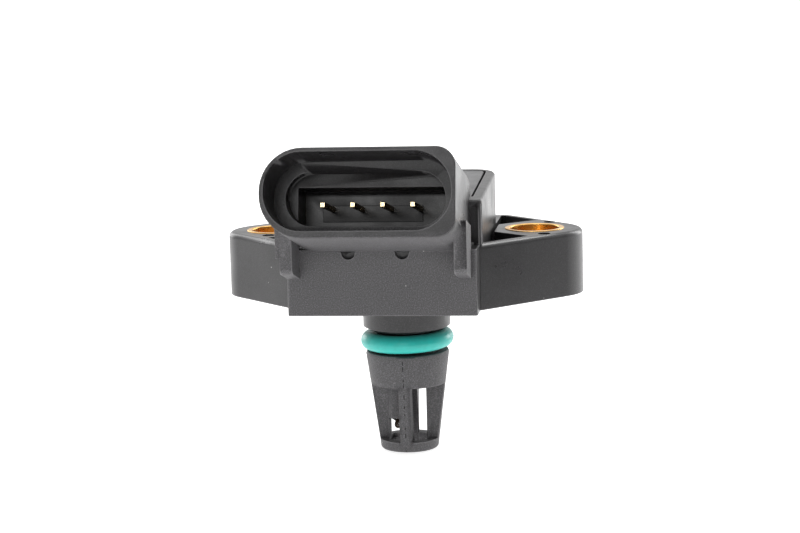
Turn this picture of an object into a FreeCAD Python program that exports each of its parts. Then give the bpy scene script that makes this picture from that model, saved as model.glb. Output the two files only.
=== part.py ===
import FreeCAD, Part
import Sketcher
import math
import os
import re
from FreeCAD import Placement, Rotation, Vector

# Manifold absolute pressure sensor with an air temperature probe.
# +Z is up, +X runs along the two mounting ears, and the plug socket opens towards -Y.
# The origin is on the port's axis, in the flange's underside. Lengths are in millimetres,
# angles in degrees.

# Driving dimensions: name, value, meaning
DIMENSIONS = (
    ("hole_spacing", 36.0, "distance between the two bolt holes"),
    ("sleeve_bore", 6.75, "inside diameter of the mounting sleeves"),
    ("sleeve_wall", 0.7, "wall of the mounting sleeves"),
    ("sleeve_proud", 0.1, "height of the sleeves above the ears"),
    ("sleeve_chamfer", 0.2, "chamfer on the sleeves' bore edges"),
    ("flange_height", 8.75, "thickness of the flange"),
    ("ear_radius", 6.6, "radius of the ears' ends"),
    ("ear_edge_angle", 45.0, "angle of the ears' sides to the X axis"),
    ("flange_back", 13.85, "reach of the flange behind the port's axis"),
    ("flange_edge_round", 0.7, "rounding of the flange's upper edge"),
    ("rim_wall", 1.3, "wall round the pockets in the ears"),
    ("pocket_depth", 3.6, "depth of the pockets in the ears"),
    ("pocket_tip", 17.76, "distance of the pockets' sharp ends from the port's axis"),
    ("land_half_width", 3.5, "half the width of the sleeve land beside the cell block"),
    ("land_slit", 0.5, "slit between the sleeve land and the cell block"),
    ("pin_mark_radius", 0.9, "radius of the round marks beside the sleeves"),
    ("pin_mark_depth", 0.5, "depth of the round marks"),
    ("pin_mark_front", 5.6, "distance of the round marks from the sleeves' axis line"),
    ("right_mark_offset", 1.7, "offset of the right marks beyond the right sleeve's axis"),
    ("base_front", 19.2, "reach of the base in front of the port's axis"),
    ("base_left", 13.1, "reach of the base to the left"),
    ("base_right", 11.9, "reach of the base to the right"),
    ("base_corner_round", 0.35, "rounding of the base's upright corners"),
    ("block_half_width", 12.3, "half the width of the cell block"),
    ("block_front", 15.3, "reach of the cell block to the front"),
    ("block_back", 7.7, "reach of the cell block to the back"),
    ("block_back_round", 3.5, "rounding of the cell block's back corners"),
    ("block_front_round", 0.6, "rounding of the cell block's front corners"),
    ("lid_headroom", 0.35, "clear height between the terminals' bends and the lid"),
    ("deck_tilt", 3.6, "slope of the cell block's top, rising to the back"),
    ("deck_edge_chamfer", 0.2, "chamfer on the top's outer edge"),
    ("lid_wall", 1.3, "wall round the lid"),
    ("lid_front", 13.3, "reach of the lid's recess to the front"),
    ("lid_gap", 0.35, "gap round the lid"),
    ("lid_thickness", 1.2, "thickness of the lid"),
    ("lid_corner_round", 0.6, "rounding of the lid's corners"),
    ("lid_edge_chamfer", 0.12, "chamfer on the lid's upper edge"),
    ("adhesive_thickness", 0.15, "thickness of the glue under the lid and the board"),
    ("lid_ledge", 0.9, "ledge that carries the lid"),
    ("chamber_floor", 9.4, "height of the chamber's floor"),
    ("chamber_round", 1.0, "rounding of the chamber's corners"),
    ("trough_wall", 1.2, "wall between the troughs behind the cell block"),
    ("trough_count", 4, "number of troughs behind the cell block"),
    ("panel_depth", 0.45, "depth of the sunk panel in the block's front wall"),
    ("panel_right", 11.75, "right edge of the sunk panel"),
    ("panel_top", 13.8, "top edge of the sunk panel"),
    ("panel_round", 0.6, "rounding of the sunk panel's upper corner"),
    ("groove_width", 0.25, "width of the upright groove beside the panel"),
    ("groove_depth", 0.3, "depth of the upright groove"),
    ("groove_setback", 0.35, "distance of the groove from the block's front wall"),
    ("groove_top", 14.1, "top end of the upright groove"),
    ("socket_reach", 30.5, "distance of the socket's mouth in front of the port's axis"),
    ("socket_height", 17.72, "height of the middle of the socket's mouth"),
    ("socket_offset", 1.75, "distance of the socket's middle to the left"),
    ("socket_tilt", 12.0, "upward tilt of the socket"),
    ("shell_half_width", 12.4, "half the outside width of the socket"),
    ("shell_half_height", 5.7, "half the outside height of the socket"),
    ("shell_left_round", 5.5, "rounding of the socket's left end"),
    ("shell_right_round", 2.5, "rounding of the socket's right corners"),
    ("shell_length", 17.0, "length of the socket from mouth to back"),
    ("shell_edge_chamfer", 0.12, "chamfer on the socket's mouth edge"),
    ("bay_half_width", 11.86, "half the inside width of the mouth bay"),
    ("bay_half_height", 4.92, "half the inside height of the mouth bay"),
    ("bay_rise", 0.14, "rise of the bay's middle above the socket's middle"),
    ("bay_round", 4.8, "rounding of the bay's ends"),
    ("bay_depth", 7.3, "depth of the bay"),
    ("well_half_width", 10.3, "half the width of the inner well"),
    ("well_half_height", 3.48, "half the height of the inner well"),
    ("well_drop", 0.22, "drop of the well's middle below the socket's middle"),
    ("well_round", 3.4, "rounding of the well's ends"),
    ("shelf_depth", 10.3, "depth from the mouth to the shelf's face"),
    ("shelf_level", 1.47, "height of the shelf's underside above the socket's middle"),
    ("well_depth", 15.5, "depth from the mouth to the well's floor"),
    ("pit_left", 9.2, "reach of the deepest part of the well to the left"),
    ("tablet_left", 6.9, "reach of the raised tablet under the terminals to the left"),
    ("tablet_right", 6.4, "reach of the raised tablet to the right"),
    ("tablet_top", -0.5, "upper edge of the raised tablet"),
    ("tablet_bottom", -2.8, "lower edge of the raised tablet"),
    ("tablet_height", 0.12, "height of the raised tablet"),
    ("throat_round", 1.2, "hollow rounding between the socket and the base"),
    ("gusset_thickness", 2.0, "thickness of the two gussets under the socket"),
    ("gusset_reach", 5.8, "reach of the gussets in front of the base"),
    ("gusset_foot", 4.9, "height of the gussets' lower ends"),
    ("left_gusset_edge", 14.0, "outer face of the left gusset"),
    ("right_gusset_edge", 11.1, "outer face of the right gusset"),
    ("notch_radius", 0.9, "radius of the two notches under the socket"),
    ("notch_depth", 0.5, "depth of the notches"),
    ("notch_level", 8.35, "height of the notches' middle"),
    ("left_notch", -4.9, "place of the left notch"),
    ("right_notch", 2.2, "place of the right notch"),
    ("terminal_width", 0.63, "side of the terminals' square section"),
    ("terminal_pitch", 3.8, "distance between terminals"),
    ("terminal_count", 4, "number of terminals"),
    ("terminal_level", -0.95, "height of the terminals from the socket's middle"),
    ("terminal_tip_depth", 9.2, "depth from the mouth to the terminals' tips"),
    ("terminal_tip_chamfer", 0.14, "chamfer on the terminals' tips"),
    ("terminal_leg", 11.7, "distance of the terminals' upright legs before the port's axis"),
    ("terminal_foot_end", 9.3, "distance of the feet's ends before the port's axis"),
    ("terminal_bend", 0.25, "inside radius of the terminals' bends"),
    ("collar_radius", 6.08, "radius of the port's collar"),
    ("collar_height", 4.65, "height of the collar under the flange"),
    ("collar_chamfer_height", 1.2, "height of the collar's lower taper"),
    ("neck_radius", 3.95, "radius of the neck that carries the seal ring"),
    ("shoulder_level", 8.39, "depth of the shoulder under the seal ring"),
    ("shoulder_radius", 5.65, "radius of the shoulder"),
    ("shoulder_chamfer", 0.3, "chamfer on the shoulder"),
    ("port_length", 22.15, "length of the port under the flange"),
    ("port_end_radius", 3.9, "radius of the port at its end"),
    ("port_end_round", 0.6, "rounding of the port's end"),
    ("window_height", 7.0, "height of the windows"),
    ("end_ring_height", 1.9, "height of the closed ring at the port's end"),
    ("cage_rib_width", 1.9, "width of the ribs between the windows"),
    ("cage_bore_radius", 2.33, "radius of the port's bore"),
    ("bore_roof", 6.4, "height of the bore's roof"),
    ("guard_offset", 1.2, "distance of the probe's guard tube to the left of the axis"),
    ("guard_radius", 1.55, "outside radius of the guard tube"),
    ("guard_bore_radius", 1.08, "inside radius of the guard tube"),
    ("guard_setback", 2.2, "distance from the guard tube's end to the port's end"),
    ("guard_opening_height", 2.35, "height of the guard tube's front opening"),
    ("guard_slant_drop", 2.0, "height of the slanted cut on the guard tube's end"),
    ("passage_radius", 0.8, "radius of the pressure passage"),
    ("passage_offset", 1.3, "distance of the passage to the right of the axis"),
    ("ring_section", 2.5, "thickness of the seal ring"),
    ("ring_clearance", 0.03, "gap between seal ring and neck"),
    ("ring_level", 6.98, "depth of the seal ring's middle"),
    ("ring_lean", 1.3, "lean of the seal ring, lower to the left"),
    ("board_left", 9.5, "reach of the board to the left"),
    ("board_right", 8.5, "reach of the board to the right"),
    ("board_front", 8.3, "reach of the board to the front"),
    ("board_back", 4.9, "reach of the board to the back"),
    ("board_thickness", 0.8, "thickness of the board"),
    ("glue_inset", 0.5, "inset of the glue under the board"),
    ("hole_clearance", 0.1, "gap between the probe's leads and their holes"),
    ("pedestal_side", 2.0, "side of the glass pedestal"),
    ("pedestal_height", 0.9, "height of the glass pedestal"),
    ("pedestal_bore", 0.35, "radius of the hole through the pedestal"),
    ("cell_height", 0.4, "thickness of the pressure chip"),
    ("cell_recess_side", 1.2, "side of the recess under the chip's diaphragm"),
    ("cell_recess_depth", 0.32, "depth of the recess under the diaphragm"),
    ("amplifier_width", 2.0, "width of the signal chip"),
    ("amplifier_depth", 1.8, "depth of the signal chip"),
    ("amplifier_height", 0.35, "thickness of the signal chip"),
    ("amplifier_back", 2.7, "distance of the signal chip's middle behind the axis"),
    ("dam_wall", 0.4, "wall of the gel dam"),
    ("dam_margin", 0.35, "gap between the chips and the gel dam"),
    ("dam_height", 2.1, "height of the gel dam"),
    ("gel_height", 1.95, "height of the gel in the dam"),
    ("wire_width", 0.12, "side of the ribbon bonds' square section"),
    ("wire_landing", 0.5, "distance of the ribbon bonds' ends from the edges"),
    ("wire_rise", 0.2, "straight rise of the ribbon bonds"),
    ("capacitor_length", 2.0, "length of the capacitors"),
    ("capacitor_width", 1.25, "width of the capacitors"),
    ("capacitor_height", 0.85, "height of the capacitors"),
    ("capacitor_pitch", 3.4, "distance between the capacitors"),
    ("capacitor_offset", 6.0, "distance of the capacitors to the left of the axis"),
    ("bead_radius", 0.8, "radius of the probe's bead"),
    ("bead_cap_angle", 45.0, "latitude of the bead's flat top"),
    ("bead_setback", 3.4, "distance from the bead's middle to the port's end"),
    ("lead_radius", 0.15, "radius of the probe's leads"),
    ("lead_gauge", 0.7, "distance between the probe's leads"),
    ("lead_stub", 0.55, "length of the leads above the board"),
    ("solder_radius", 0.42, "radius of the solder at its foot"),
    ("solder_height", 0.4, "height of the solder"),
)

doc = FreeCAD.newDocument("pressure_sensor")
sheet = doc.addObject("Spreadsheet::Sheet", "dimensions")
for row, (alias, value, meaning) in enumerate(DIMENSIONS, start=1):
    sheet.set(f"A{row}", meaning)
    sheet.set(f"B{row}", str(value))
    sheet.setAlias(f"B{row}", alias)
doc.recompute()

ALIASES = {alias for alias, value, meaning in DIMENSIONS}

# Formulas that several pieces share
EAR_TIP = "(hole_spacing / 2 + ear_radius / sin(ear_edge_angle))"
INNER_TIP = "(hole_spacing / 2 + (ear_radius - rim_wall) / sin(ear_edge_angle))"
SLEEVE_RADIUS = "(sleeve_bore / 2 + sleeve_wall)"
CHAMBER_SIDE = "(block_half_width - lid_wall - lid_ledge)"
CHAMBER_FRONT = "(lid_front - lid_ledge)"
CHAMBER_BACK = "(block_back - lid_wall - lid_ledge)"
BOARD_TOP = "(chamber_floor + adhesive_thickness + board_thickness)"
WINDOW_BOTTOM = "(port_length - end_ring_height)"
WINDOW_TOP = f"({WINDOW_BOTTOM} - window_height)"
GUARD_END = "(port_length - guard_setback)"
BEAD_LEVEL = "(port_length - bead_setback)"
CELL_BASE = f"({BOARD_TOP} + pedestal_height)"


def formula(text):
    """The text with the sheet's name before each dimension."""
    return re.sub(r"[a-z]\w*", lambda word: ("dimensions." if word[0] in ALIASES else "") + word[0], text)


def number(text):
    """The value of a formula."""
    return float(sheet.evalExpression(formula(text)))


def bind(item, **formulas):
    """Binds properties of an object to formulas."""
    for name, text in formulas.items():
        item.setExpression(name, formula(text))


def place(item, x="0", y="0", z="0", lean=None):
    """Binds an object's Placement to formulas; lean is its turn about the Y axis."""
    if lean:
        item.Placement = Placement(Vector(), Rotation(Vector(0, -1, 0), 1))
        item.setExpression("Placement.Rotation.Angle", formula(lean))
    for axis, text in (("x", x), ("y", y), ("z", z)):
        item.setExpression(f"Placement.Base.{axis}", formula(text))


def along_socket(height, y):
    """Height above the flange's underside of a line that runs along the socket, at a given y.

    The line lies at the given height above the socket's middle, square to its axis."""
    return (f"(socket_height + ({height}) / cos(socket_tilt)"
            f" - (({y}) + socket_reach) * tan(socket_tilt))")


def deck_height():
    """Height of the cell block's top over the port's axis, from what the lid has to clear."""
    bend = "-terminal_leg - terminal_width / 2"
    return (f"({along_socket('terminal_level + terminal_width / 2', bend)} + lid_headroom"
            f" + (lid_thickness + adhesive_thickness) / cos(deck_tilt) - ({bend}) * tan(deck_tilt))")


def socket_point(depth, height):
    """Y and Z of a point in the socket, from its depth behind the mouth and height off the axis."""
    return (f"-socket_reach + ({depth}) * cos(socket_tilt) + ({height}) * sin(socket_tilt)",
            f"socket_height - ({depth}) * sin(socket_tilt) + ({height}) * cos(socket_tilt)")


def new_body(label):
    body = doc.addObject("PartDesign::Body", label)
    body.Label = label
    return body


def origin_feature(body, role):
    return next(item for item in body.Origin.OriginFeatures if item.Role == role)


def sketch_on(body, plane, name, x="0", y="0", z="0", tilt=None, axis=(1, 0, 0)):
    """A sketch on one of the body's planes, moved and tilted in that plane's own axes."""
    sketch = body.newObject("Sketcher::SketchObject", f"{body.Name}_{name}")
    sketch.AttachmentSupport = [(origin_feature(body, plane), "")]
    sketch.MapMode = "FlatFace"
    if tilt:
        sketch.AttachmentOffset = Placement(Vector(), Rotation(Vector(*axis), 1))
        sketch.setExpression("AttachmentOffset.Rotation.Angle", formula(tilt))
    for letter, text in (("x", x), ("y", y), ("z", z)):
        sketch.setExpression(f"AttachmentOffset.Base.{letter}", formula(text))
    return sketch


def constrain(sketch, rules):
    """Adds constraints; each rule is a constraint and the formula that drives it, or None."""
    first = sketch.ConstraintCount
    sketch.addConstraint([rule for rule, text in rules])
    for step, (rule, text) in enumerate(rules):
        if text is not None:
            sketch.setExpression(f"Constraints[{first + step}]", formula(text))


def pinned(geometry, point, x, y):
    """Rules that hold a point of a sketch at a pair of formulas."""
    return [(Sketcher.Constraint("DistanceX", -1, 1, geometry, point, number(x)), x),
            (Sketcher.Constraint("DistanceY", -1, 1, geometry, point, number(y)), y)]


def circle(sketch, x, y, radius):
    centre = Vector(number(x), number(y), 0)
    ring = sketch.addGeometry(Part.Circle(centre, Vector(0, 0, 1), number(radius)))
    rule = Sketcher.Constraint("Radius", ring, number(radius))
    constrain(sketch, [(rule, radius)] + pinned(ring, 3, x, y))


def corner_arc(before, here, after, radius):
    """The arc that rounds a corner, with its ends and whether it turns anticlockwise."""
    back = (before - here).normalize()
    onward = (after - here).normalize()
    half = back.getAngle(onward) / 2
    centre = here + (back + onward).normalize() * (radius / math.sin(half))
    enter = here + back * (radius / math.tan(half))
    leave = here + onward * (radius / math.tan(half))
    anticlockwise = onward.cross(back).z > 0
    start, end = (enter, leave) if anticlockwise else (leave, enter)
    angles = [math.atan2(point.y - centre.y, point.x - centre.x) for point in (start, end)]
    if angles[1] < angles[0]:
        angles[1] += 2 * math.pi
    arc = Part.ArcOfCircle(Part.Circle(centre, Vector(0, 0, 1), radius), *angles)
    return arc, enter, leave, anticlockwise


def outline(sketch, corners):
    """A closed outline of straight edges. Each corner is a pair of formulas, with a third for its
    radius where it is rounded."""
    count = len(corners)
    sharp = [Vector(number(corner[0]), number(corner[1]), 0) for corner in corners]
    enter, leave, arcs = list(sharp), list(sharp), {}
    for i, corner in enumerate(corners):
        if len(corner) == 3:
            around = (sharp[i - 1], sharp[i], sharp[(i + 1) % count])
            arcs[i] = corner_arc(*around, number(corner[2]))
            enter[i], leave[i] = arcs[i][1:3]
    lines = [sketch.addGeometry(Part.LineSegment(leave[i], enter[(i + 1) % count])) for i in range(count)]
    rules = []
    for i, corner in enumerate(corners):
        before, after = lines[i - 1], lines[i]
        if i not in arcs:
            rules.append((Sketcher.Constraint("Coincident", before, 2, after, 1), None))
            rules += pinned(after, 1, corner[0], corner[1])
            continue
        mark = sketch.addGeometry(Part.Point(sharp[i]), True)
        arc = sketch.addGeometry(arcs[i][0])
        first, last = (1, 2) if arcs[i][3] else (2, 1)
        rules += pinned(mark, 1, corner[0], corner[1])
        rules += [(Sketcher.Constraint("PointOnObject", mark, 1, before), None),
                  (Sketcher.Constraint("PointOnObject", mark, 1, after), None),
                  (Sketcher.Constraint("Tangent", before, 2, arc, first), None),
                  (Sketcher.Constraint("Tangent", arc, last, after, 1), None),
                  (Sketcher.Constraint("Radius", arc, number(corner[2])), corner[2])]
    constrain(sketch, rules)


def rectangle(sketch, left, right, bottom, top, *radii):
    """A rectangle between four formulas; radii round its corners from lower left, anticlockwise."""
    corners = [(left, bottom), (right, bottom), (right, top), (left, top)]
    radii = radii * 4 if len(radii) == 1 else radii
    outline(sketch, [corner + (radius,) if radius else corner
                     for corner, radius in zip(corners, radii or (None,) * 4)])


def sweep_feature(kind, body, sketch, length, reverse=False, both_ways=False):
    feature = body.newObject(f"PartDesign::{kind}", f"{sketch.Name}_{kind.lower()}")
    feature.Profile = sketch
    feature.Reversed = reverse
    if both_ways:
        feature.SideType = "Symmetric"
    bind(feature, Length=length)
    return feature


def pad(body, sketch, length, **options):
    return sweep_feature("Pad", body, sketch, length, **options)


def pocket(body, sketch, length, **options):
    return sweep_feature("Pocket", body, sketch, length, **options)


def turned(kind, body, sketch, axis="Z_Axis"):
    """A full turn of a sketch about one of the body's axes: a Revolution or a Groove."""
    feature = body.newObject(f"PartDesign::{kind}", f"{sketch.Name}_{kind.lower()}")
    feature.Profile = sketch
    feature.ReferenceAxis = (origin_feature(body, axis), [""])
    feature.Angle = 360
    return feature


def pattern(kind, body, features, **settings):
    """A pattern or mirror of features, made the body's tip."""
    feature = body.newObject(f"PartDesign::{kind}", f"{features[0].Name}_{kind.lower()}")
    feature.Originals = features
    for name, value in settings.items():
        setattr(feature, name, value)
    body.Tip = feature
    return feature


def dress_edges(kind, body, size, wanted):
    """A Fillet or Chamfer on those edges of the body so far for which wanted(edge) is true."""
    doc.recompute()
    base = body.Tip
    names = [f"Edge{i}" for i, edge in enumerate(base.Shape.Edges, start=1) if wanted(edge)]
    feature = body.newObject(f"PartDesign::{kind}", f"{base.Name}_{kind.lower()}")
    feature.Base = (base, names)
    bind(feature, **{"Radius" if kind == "Fillet" else "Size": size})
    return feature


def edge_at_height(height):
    """Test for edges that lie at one height."""
    return lambda edge: all(abs(vertex.Z - number(height)) < 0.001 for vertex in edge.Vertexes)


def edge_on_plane(point, normal):
    """Test for edges whose ends and middle lie in a plane."""
    def lies_in_plane(edge):
        middle = edge.valueAt((edge.FirstParameter + edge.LastParameter) / 2)
        ends = [vertex.Point for vertex in edge.Vertexes]
        return all(abs((place - point).dot(normal)) < 0.001 for place in ends + [middle])
    return lies_in_plane


def edge_on_deck():
    """Test for edges that lie in the cell block's sloping top."""
    tilt = math.radians(number("deck_tilt"))
    return edge_on_plane(Vector(0, 0, number(deck_height())), Vector(0, -math.sin(tilt), math.cos(tilt)))


def edge_across_socket(depth):
    """Test for edges that lie square to the socket's axis, at a depth behind its mouth."""
    tilt = math.radians(number("socket_tilt"))
    y, z = socket_point(depth, "0")
    return edge_on_plane(Vector(0, number(y), number(z)), Vector(0, -math.cos(tilt), math.sin(tilt)))


def add_flange(body):
    """Diamond flange with rounded ears, lightening pockets and the two sleeve lands."""
    front = f"({EAR_TIP} - block_front / tan(ear_edge_angle))"
    back = f"({EAR_TIP} - flange_back / tan(ear_edge_angle))"
    plan = sketch_on(body, "XY_Plane", "flange")
    outline(plan, [(f"-{EAR_TIP}", "0", "ear_radius"), (f"-{front}", "-block_front"),
                   (front, "-block_front"), (EAR_TIP, "0", "ear_radius"),
                   (back, "flange_back"), (f"-{back}", "flange_back")])
    pad(body, plan, "flange_height")
    dress_edges("Fillet", body, "flange_edge_round", edge_at_height("flange_height"))

    beside_block = f"({INNER_TIP} - block_half_width) * tan(ear_edge_angle)"
    beside_tip = f"({INNER_TIP} - pocket_tip) * tan(ear_edge_angle)"
    back_wall = "flange_back - rim_wall"
    back_corner = f"{INNER_TIP} - ({back_wall}) / tan(ear_edge_angle)"
    land_end = "block_half_width + land_slit"
    pockets = sketch_on(body, "XY_Plane", "ear_pocket", z="flange_height")
    outline(pockets, [("block_half_width", f"-{beside_block}"), ("pocket_tip", f"-{beside_tip}"),
                      (land_end, "-land_half_width"), (land_end, "land_half_width"),
                      ("pocket_tip", beside_tip), (back_corner, back_wall),
                      ("block_half_width", back_wall)])
    right_pocket = pocket(body, pockets, "pocket_depth")
    pattern("Mirrored", body, [right_pocket], MirrorPlane=(origin_feature(body, "YZ_Plane"), [""]))


def add_troughs(body):
    """Row of lightening troughs behind the cell block."""
    step = "(2 * block_half_width - trough_wall) / trough_count"
    first = "-block_half_width + trough_wall"
    trough = sketch_on(body, "XY_Plane", "trough", z="flange_height")
    rectangle(trough, first, f"{first} + {step} - trough_wall",
              "block_back + trough_wall", "flange_back - rim_wall")
    row = pattern("LinearPattern", body, [pocket(body, trough, "pocket_depth")],
                  Direction=(origin_feature(body, "X_Axis"), [""]))
    bind(row, Length=f"(trough_count - 1) * {step}", Occurrences="trough_count")


def add_cell_block(body):
    """Block over the port, with its sloping top, and the base that carries the socket."""
    plan = sketch_on(body, "XY_Plane", "block")
    rectangle(plan, "-block_half_width", "block_half_width", "-block_front", "block_back",
              "block_front_round", "block_front_round", "block_back_round", "block_back_round")
    pad(body, plan, f"{deck_height()} + block_back")
    above = sketch_on(body, "YZ_Plane", "above_deck")
    start, end, top = "-2 * block_front", "2 * block_back", f"2 * {deck_height()} + block_back"
    outline(above, [(start, f"{deck_height()} + ({start}) * tan(deck_tilt)"),
                    (end, f"{deck_height()} + ({end}) * tan(deck_tilt)"), (end, top), (start, top)])
    pocket(body, above, "4 * block_half_width", both_ways=True)
    dress_edges("Chamfer", body, "deck_edge_chamfer", edge_on_deck())

    base = sketch_on(body, "XY_Plane", "base")
    rectangle(base, "-base_left", "base_right", "-base_front", "1 - block_front",
              "base_corner_round", "base_corner_round", None, None)
    pad(body, base, "flange_height")


def add_front_details(body):
    """Sunk panel and upright groove at the block's front right corner."""
    panel = sketch_on(body, "XZ_Plane", "panel", z="block_front")
    rectangle(panel, "panel_right - 4", "panel_right", "flange_height", "panel_top",
              None, None, "panel_round", None)
    pocket(body, panel, "panel_depth")
    groove = sketch_on(body, "YZ_Plane", "groove", z="block_half_width")
    rectangle(groove, "groove_setback - block_front", "groove_setback + groove_width - block_front",
              "flange_height", "groove_top")
    pocket(body, groove, "groove_depth")


def add_socket_shell(body):
    """Outside of the plug socket, its hollow throat to the base and the two gussets."""
    shell = sketch_on(body, "XZ_Plane", "shell", x="-socket_offset", y="socket_height",
                      z="socket_reach", tilt="socket_tilt", axis=(-1, 0, 0))
    rectangle(shell, "-shell_half_width", "shell_half_width", "-shell_half_height", "shell_half_height",
              "shell_left_round", "shell_right_round", "shell_right_round", "shell_left_round")
    pad(body, shell, "shell_length", reverse=True)
    dress_edges("Chamfer", body, "shell_edge_chamfer", edge_across_socket("0"))

    under = "-shell_half_height"
    inside = "0.4 - shell_half_height"
    behind, ahead = "1 - block_front", "-base_front - 2 * throat_round"
    throat = sketch_on(body, "YZ_Plane", "throat", z="(base_right - base_left) / 2")
    outline(throat, [(behind, "flange_height - 1"), ("-base_front", "flange_height - 1"),
                     ("-base_front", along_socket(under, "-base_front"), "throat_round"),
                     (ahead, along_socket(under, ahead)), (ahead, along_socket(inside, ahead)),
                     (behind, along_socket(inside, behind))])
    pad(body, throat, "base_right + base_left - 4 * base_corner_round", both_ways=True)

    foot, reach = "gusset_foot", "-base_front - gusset_reach"
    for side, face in (("left", "-left_gusset_edge"), ("right", "right_gusset_edge - gusset_thickness")):
        gusset = sketch_on(body, "YZ_Plane", f"{side}_gusset", z=face)
        outline(gusset, [("1 - base_front", foot), ("-base_front", foot),
                         (reach, along_socket(under, reach)), (reach, along_socket(inside, reach)),
                         ("1 - base_front", along_socket(inside, "1 - base_front"))])
        pad(body, gusset, "gusset_thickness")

    notches = sketch_on(body, "XZ_Plane", "notch", z="base_front")
    for place_x in ("left_notch", "right_notch"):
        circle(notches, place_x, "notch_level", "notch_radius")
    pocket(body, notches, "notch_depth")


def socket_sketch(body, name, depth):
    """A sketch square to the socket's axis, at a depth behind its mouth."""
    y, z = socket_point(depth, "0")
    return sketch_on(body, "XZ_Plane", name, x="-socket_offset", y=z, z=f"-({y})",
                     tilt="socket_tilt", axis=(-1, 0, 0))


def add_socket_hollow(body):
    """Stepped inside of the socket: mouth bay, inner well with a shelf, and raised tablet."""
    bay = socket_sketch(body, "bay", "-1")
    rectangle(bay, "-bay_half_width", "bay_half_width", "bay_rise - bay_half_height",
              "bay_rise + bay_half_height", "bay_round")
    pocket(body, bay, "bay_depth + 1")
    floor, roof = "-well_drop - well_half_height", "well_half_height - well_drop"
    well = socket_sketch(body, "well", "bay_depth - 1")
    rectangle(well, "-well_half_width", "well_half_width", floor, roof, "well_round")
    pocket(body, well, "shelf_depth - bay_depth + 1")
    pit = socket_sketch(body, "pit", "shelf_depth - 1")
    rectangle(pit, "-pit_left", "well_half_width", floor, "shelf_level", None, "well_round", None, None)
    pocket(body, pit, "well_depth - shelf_depth + 1")
    tablet = socket_sketch(body, "tablet", "well_depth")
    rectangle(tablet, "-tablet_left", "tablet_right", "tablet_bottom", "tablet_top")
    pad(body, tablet, "tablet_height")


def add_port(body):
    """Port under the flange: collar, seal groove, tapered cage with windows, and guard tube."""
    profile = sketch_on(body, "XZ_Plane", "port")
    outline(profile, [("0", "1"), ("0", "-port_length"),
                      ("port_end_radius", "-port_length", "port_end_round"),
                      ("shoulder_radius - shoulder_chamfer / 2", "-shoulder_level - shoulder_chamfer"),
                      ("shoulder_radius - shoulder_chamfer", "-shoulder_level"),
                      ("neck_radius", "-shoulder_level"),
                      ("neck_radius", "-collar_height - collar_chamfer_height"),
                      ("collar_radius", "-collar_height"), ("collar_radius", "1")])
    turned("Revolution", body, profile)
    bore = sketch_on(body, "XY_Plane", "port_bore", z="bore_roof")
    circle(bore, "0", "0", "cage_bore_radius")
    pocket(body, bore, "bore_roof + port_length + 1")

    window = sketch_on(body, "XY_Plane", "window", z=f"-{WINDOW_TOP}")
    near, far = "cage_rib_width / 2", "2 * shoulder_radius"
    rectangle(window, near, far, near, far)
    cut = pocket(body, window, "window_height")
    ring = pattern("PolarPattern", body, [cut], Axis=(origin_feature(body, "Z_Axis"), [""]),
                   Angle=360, Occurrences=4)
    body.Tip = ring

    tube = sketch_on(body, "XY_Plane", "guard_tube", z=f"-{GUARD_END}")
    circle(tube, "-guard_offset", "0", "guard_radius")
    pad(body, tube, f"{GUARD_END} + bore_roof + 0.5")
    inside = sketch_on(body, "XY_Plane", "guard_bore", z="bore_roof - 1")
    circle(inside, "-guard_offset", "0", "guard_bore_radius")
    pocket(body, inside, f"{GUARD_END} + bore_roof")

    left = "-cage_bore_radius"
    slant = sketch_on(body, "XZ_Plane", "guard_slant")
    outline(slant, [(left, f"guard_slant_drop - {GUARD_END}"), (left, f"-{GUARD_END} - 1"),
                    ("-guard_offset + guard_radius / 2", f"-{GUARD_END} - 1"),
                    ("-guard_offset + guard_radius / 2", f"-{GUARD_END}")])
    pocket(body, slant, "2.2 * guard_radius", both_ways=True)
    opening = sketch_on(body, "XZ_Plane", "guard_opening", z="guard_radius + 0.1")
    rectangle(opening, left, "guard_radius - guard_offset + 0.1", f"-{GUARD_END} - 1",
              f"guard_opening_height - {GUARD_END}")
    pocket(body, opening, "guard_radius - 0.2")


def add_chamber(body):
    """Recess for the lid, chamber under it, pressure passage and lead holes."""
    recess = sketch_on(body, "XY_Plane", "lid_recess", z=deck_height(), tilt="deck_tilt")
    side = "block_half_width - lid_wall"
    corner = "lid_corner_round + lid_gap"
    rectangle(recess, f"-({side})", side, "-lid_front", "block_back - lid_wall",
              corner, corner, corner, corner)
    pocket(body, recess, "lid_thickness + adhesive_thickness")
    chamber = sketch_on(body, "XY_Plane", "chamber", z="chamber_floor")
    rectangle(chamber, f"-{CHAMBER_SIDE}", CHAMBER_SIDE, f"-{CHAMBER_FRONT}", CHAMBER_BACK, "chamber_round")
    pocket(body, chamber, f"{deck_height()} + 1 - chamber_floor", reverse=True)
    holes = sketch_on(body, "XY_Plane", "floor_holes", z="chamber_floor")
    circle(holes, "passage_offset", "0", "passage_radius")
    for side in (-1, 1):
        circle(holes, f"-guard_offset + {side} * lead_gauge / 2", "0", "lead_radius + hole_clearance")
    pocket(body, holes, "chamber_floor - bore_roof + 1.5")


def terminal_outline(sketch):
    """Side view of a terminal: straight pin along the socket, upright leg and foot on the floor."""
    low = "terminal_level - terminal_width / 2"
    high = "terminal_level + terminal_width / 2"
    front = "-terminal_leg - terminal_width / 2"
    back = "-terminal_leg + terminal_width / 2"
    outer_bend = "terminal_bend + terminal_width"
    outline(sketch, [socket_point("terminal_tip_depth", low),
                     (front, along_socket(low, front), "terminal_bend"),
                     (front, "chamber_floor", outer_bend), ("-terminal_foot_end", "chamber_floor"),
                     ("-terminal_foot_end", "chamber_floor + terminal_width"),
                     (back, "chamber_floor + terminal_width", "terminal_bend"),
                     (back, along_socket(high, back), outer_bend),
                     socket_point("terminal_tip_depth", high)])


def first_terminal_x():
    return "-socket_offset - (terminal_count - 1) * terminal_pitch / 2"


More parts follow.
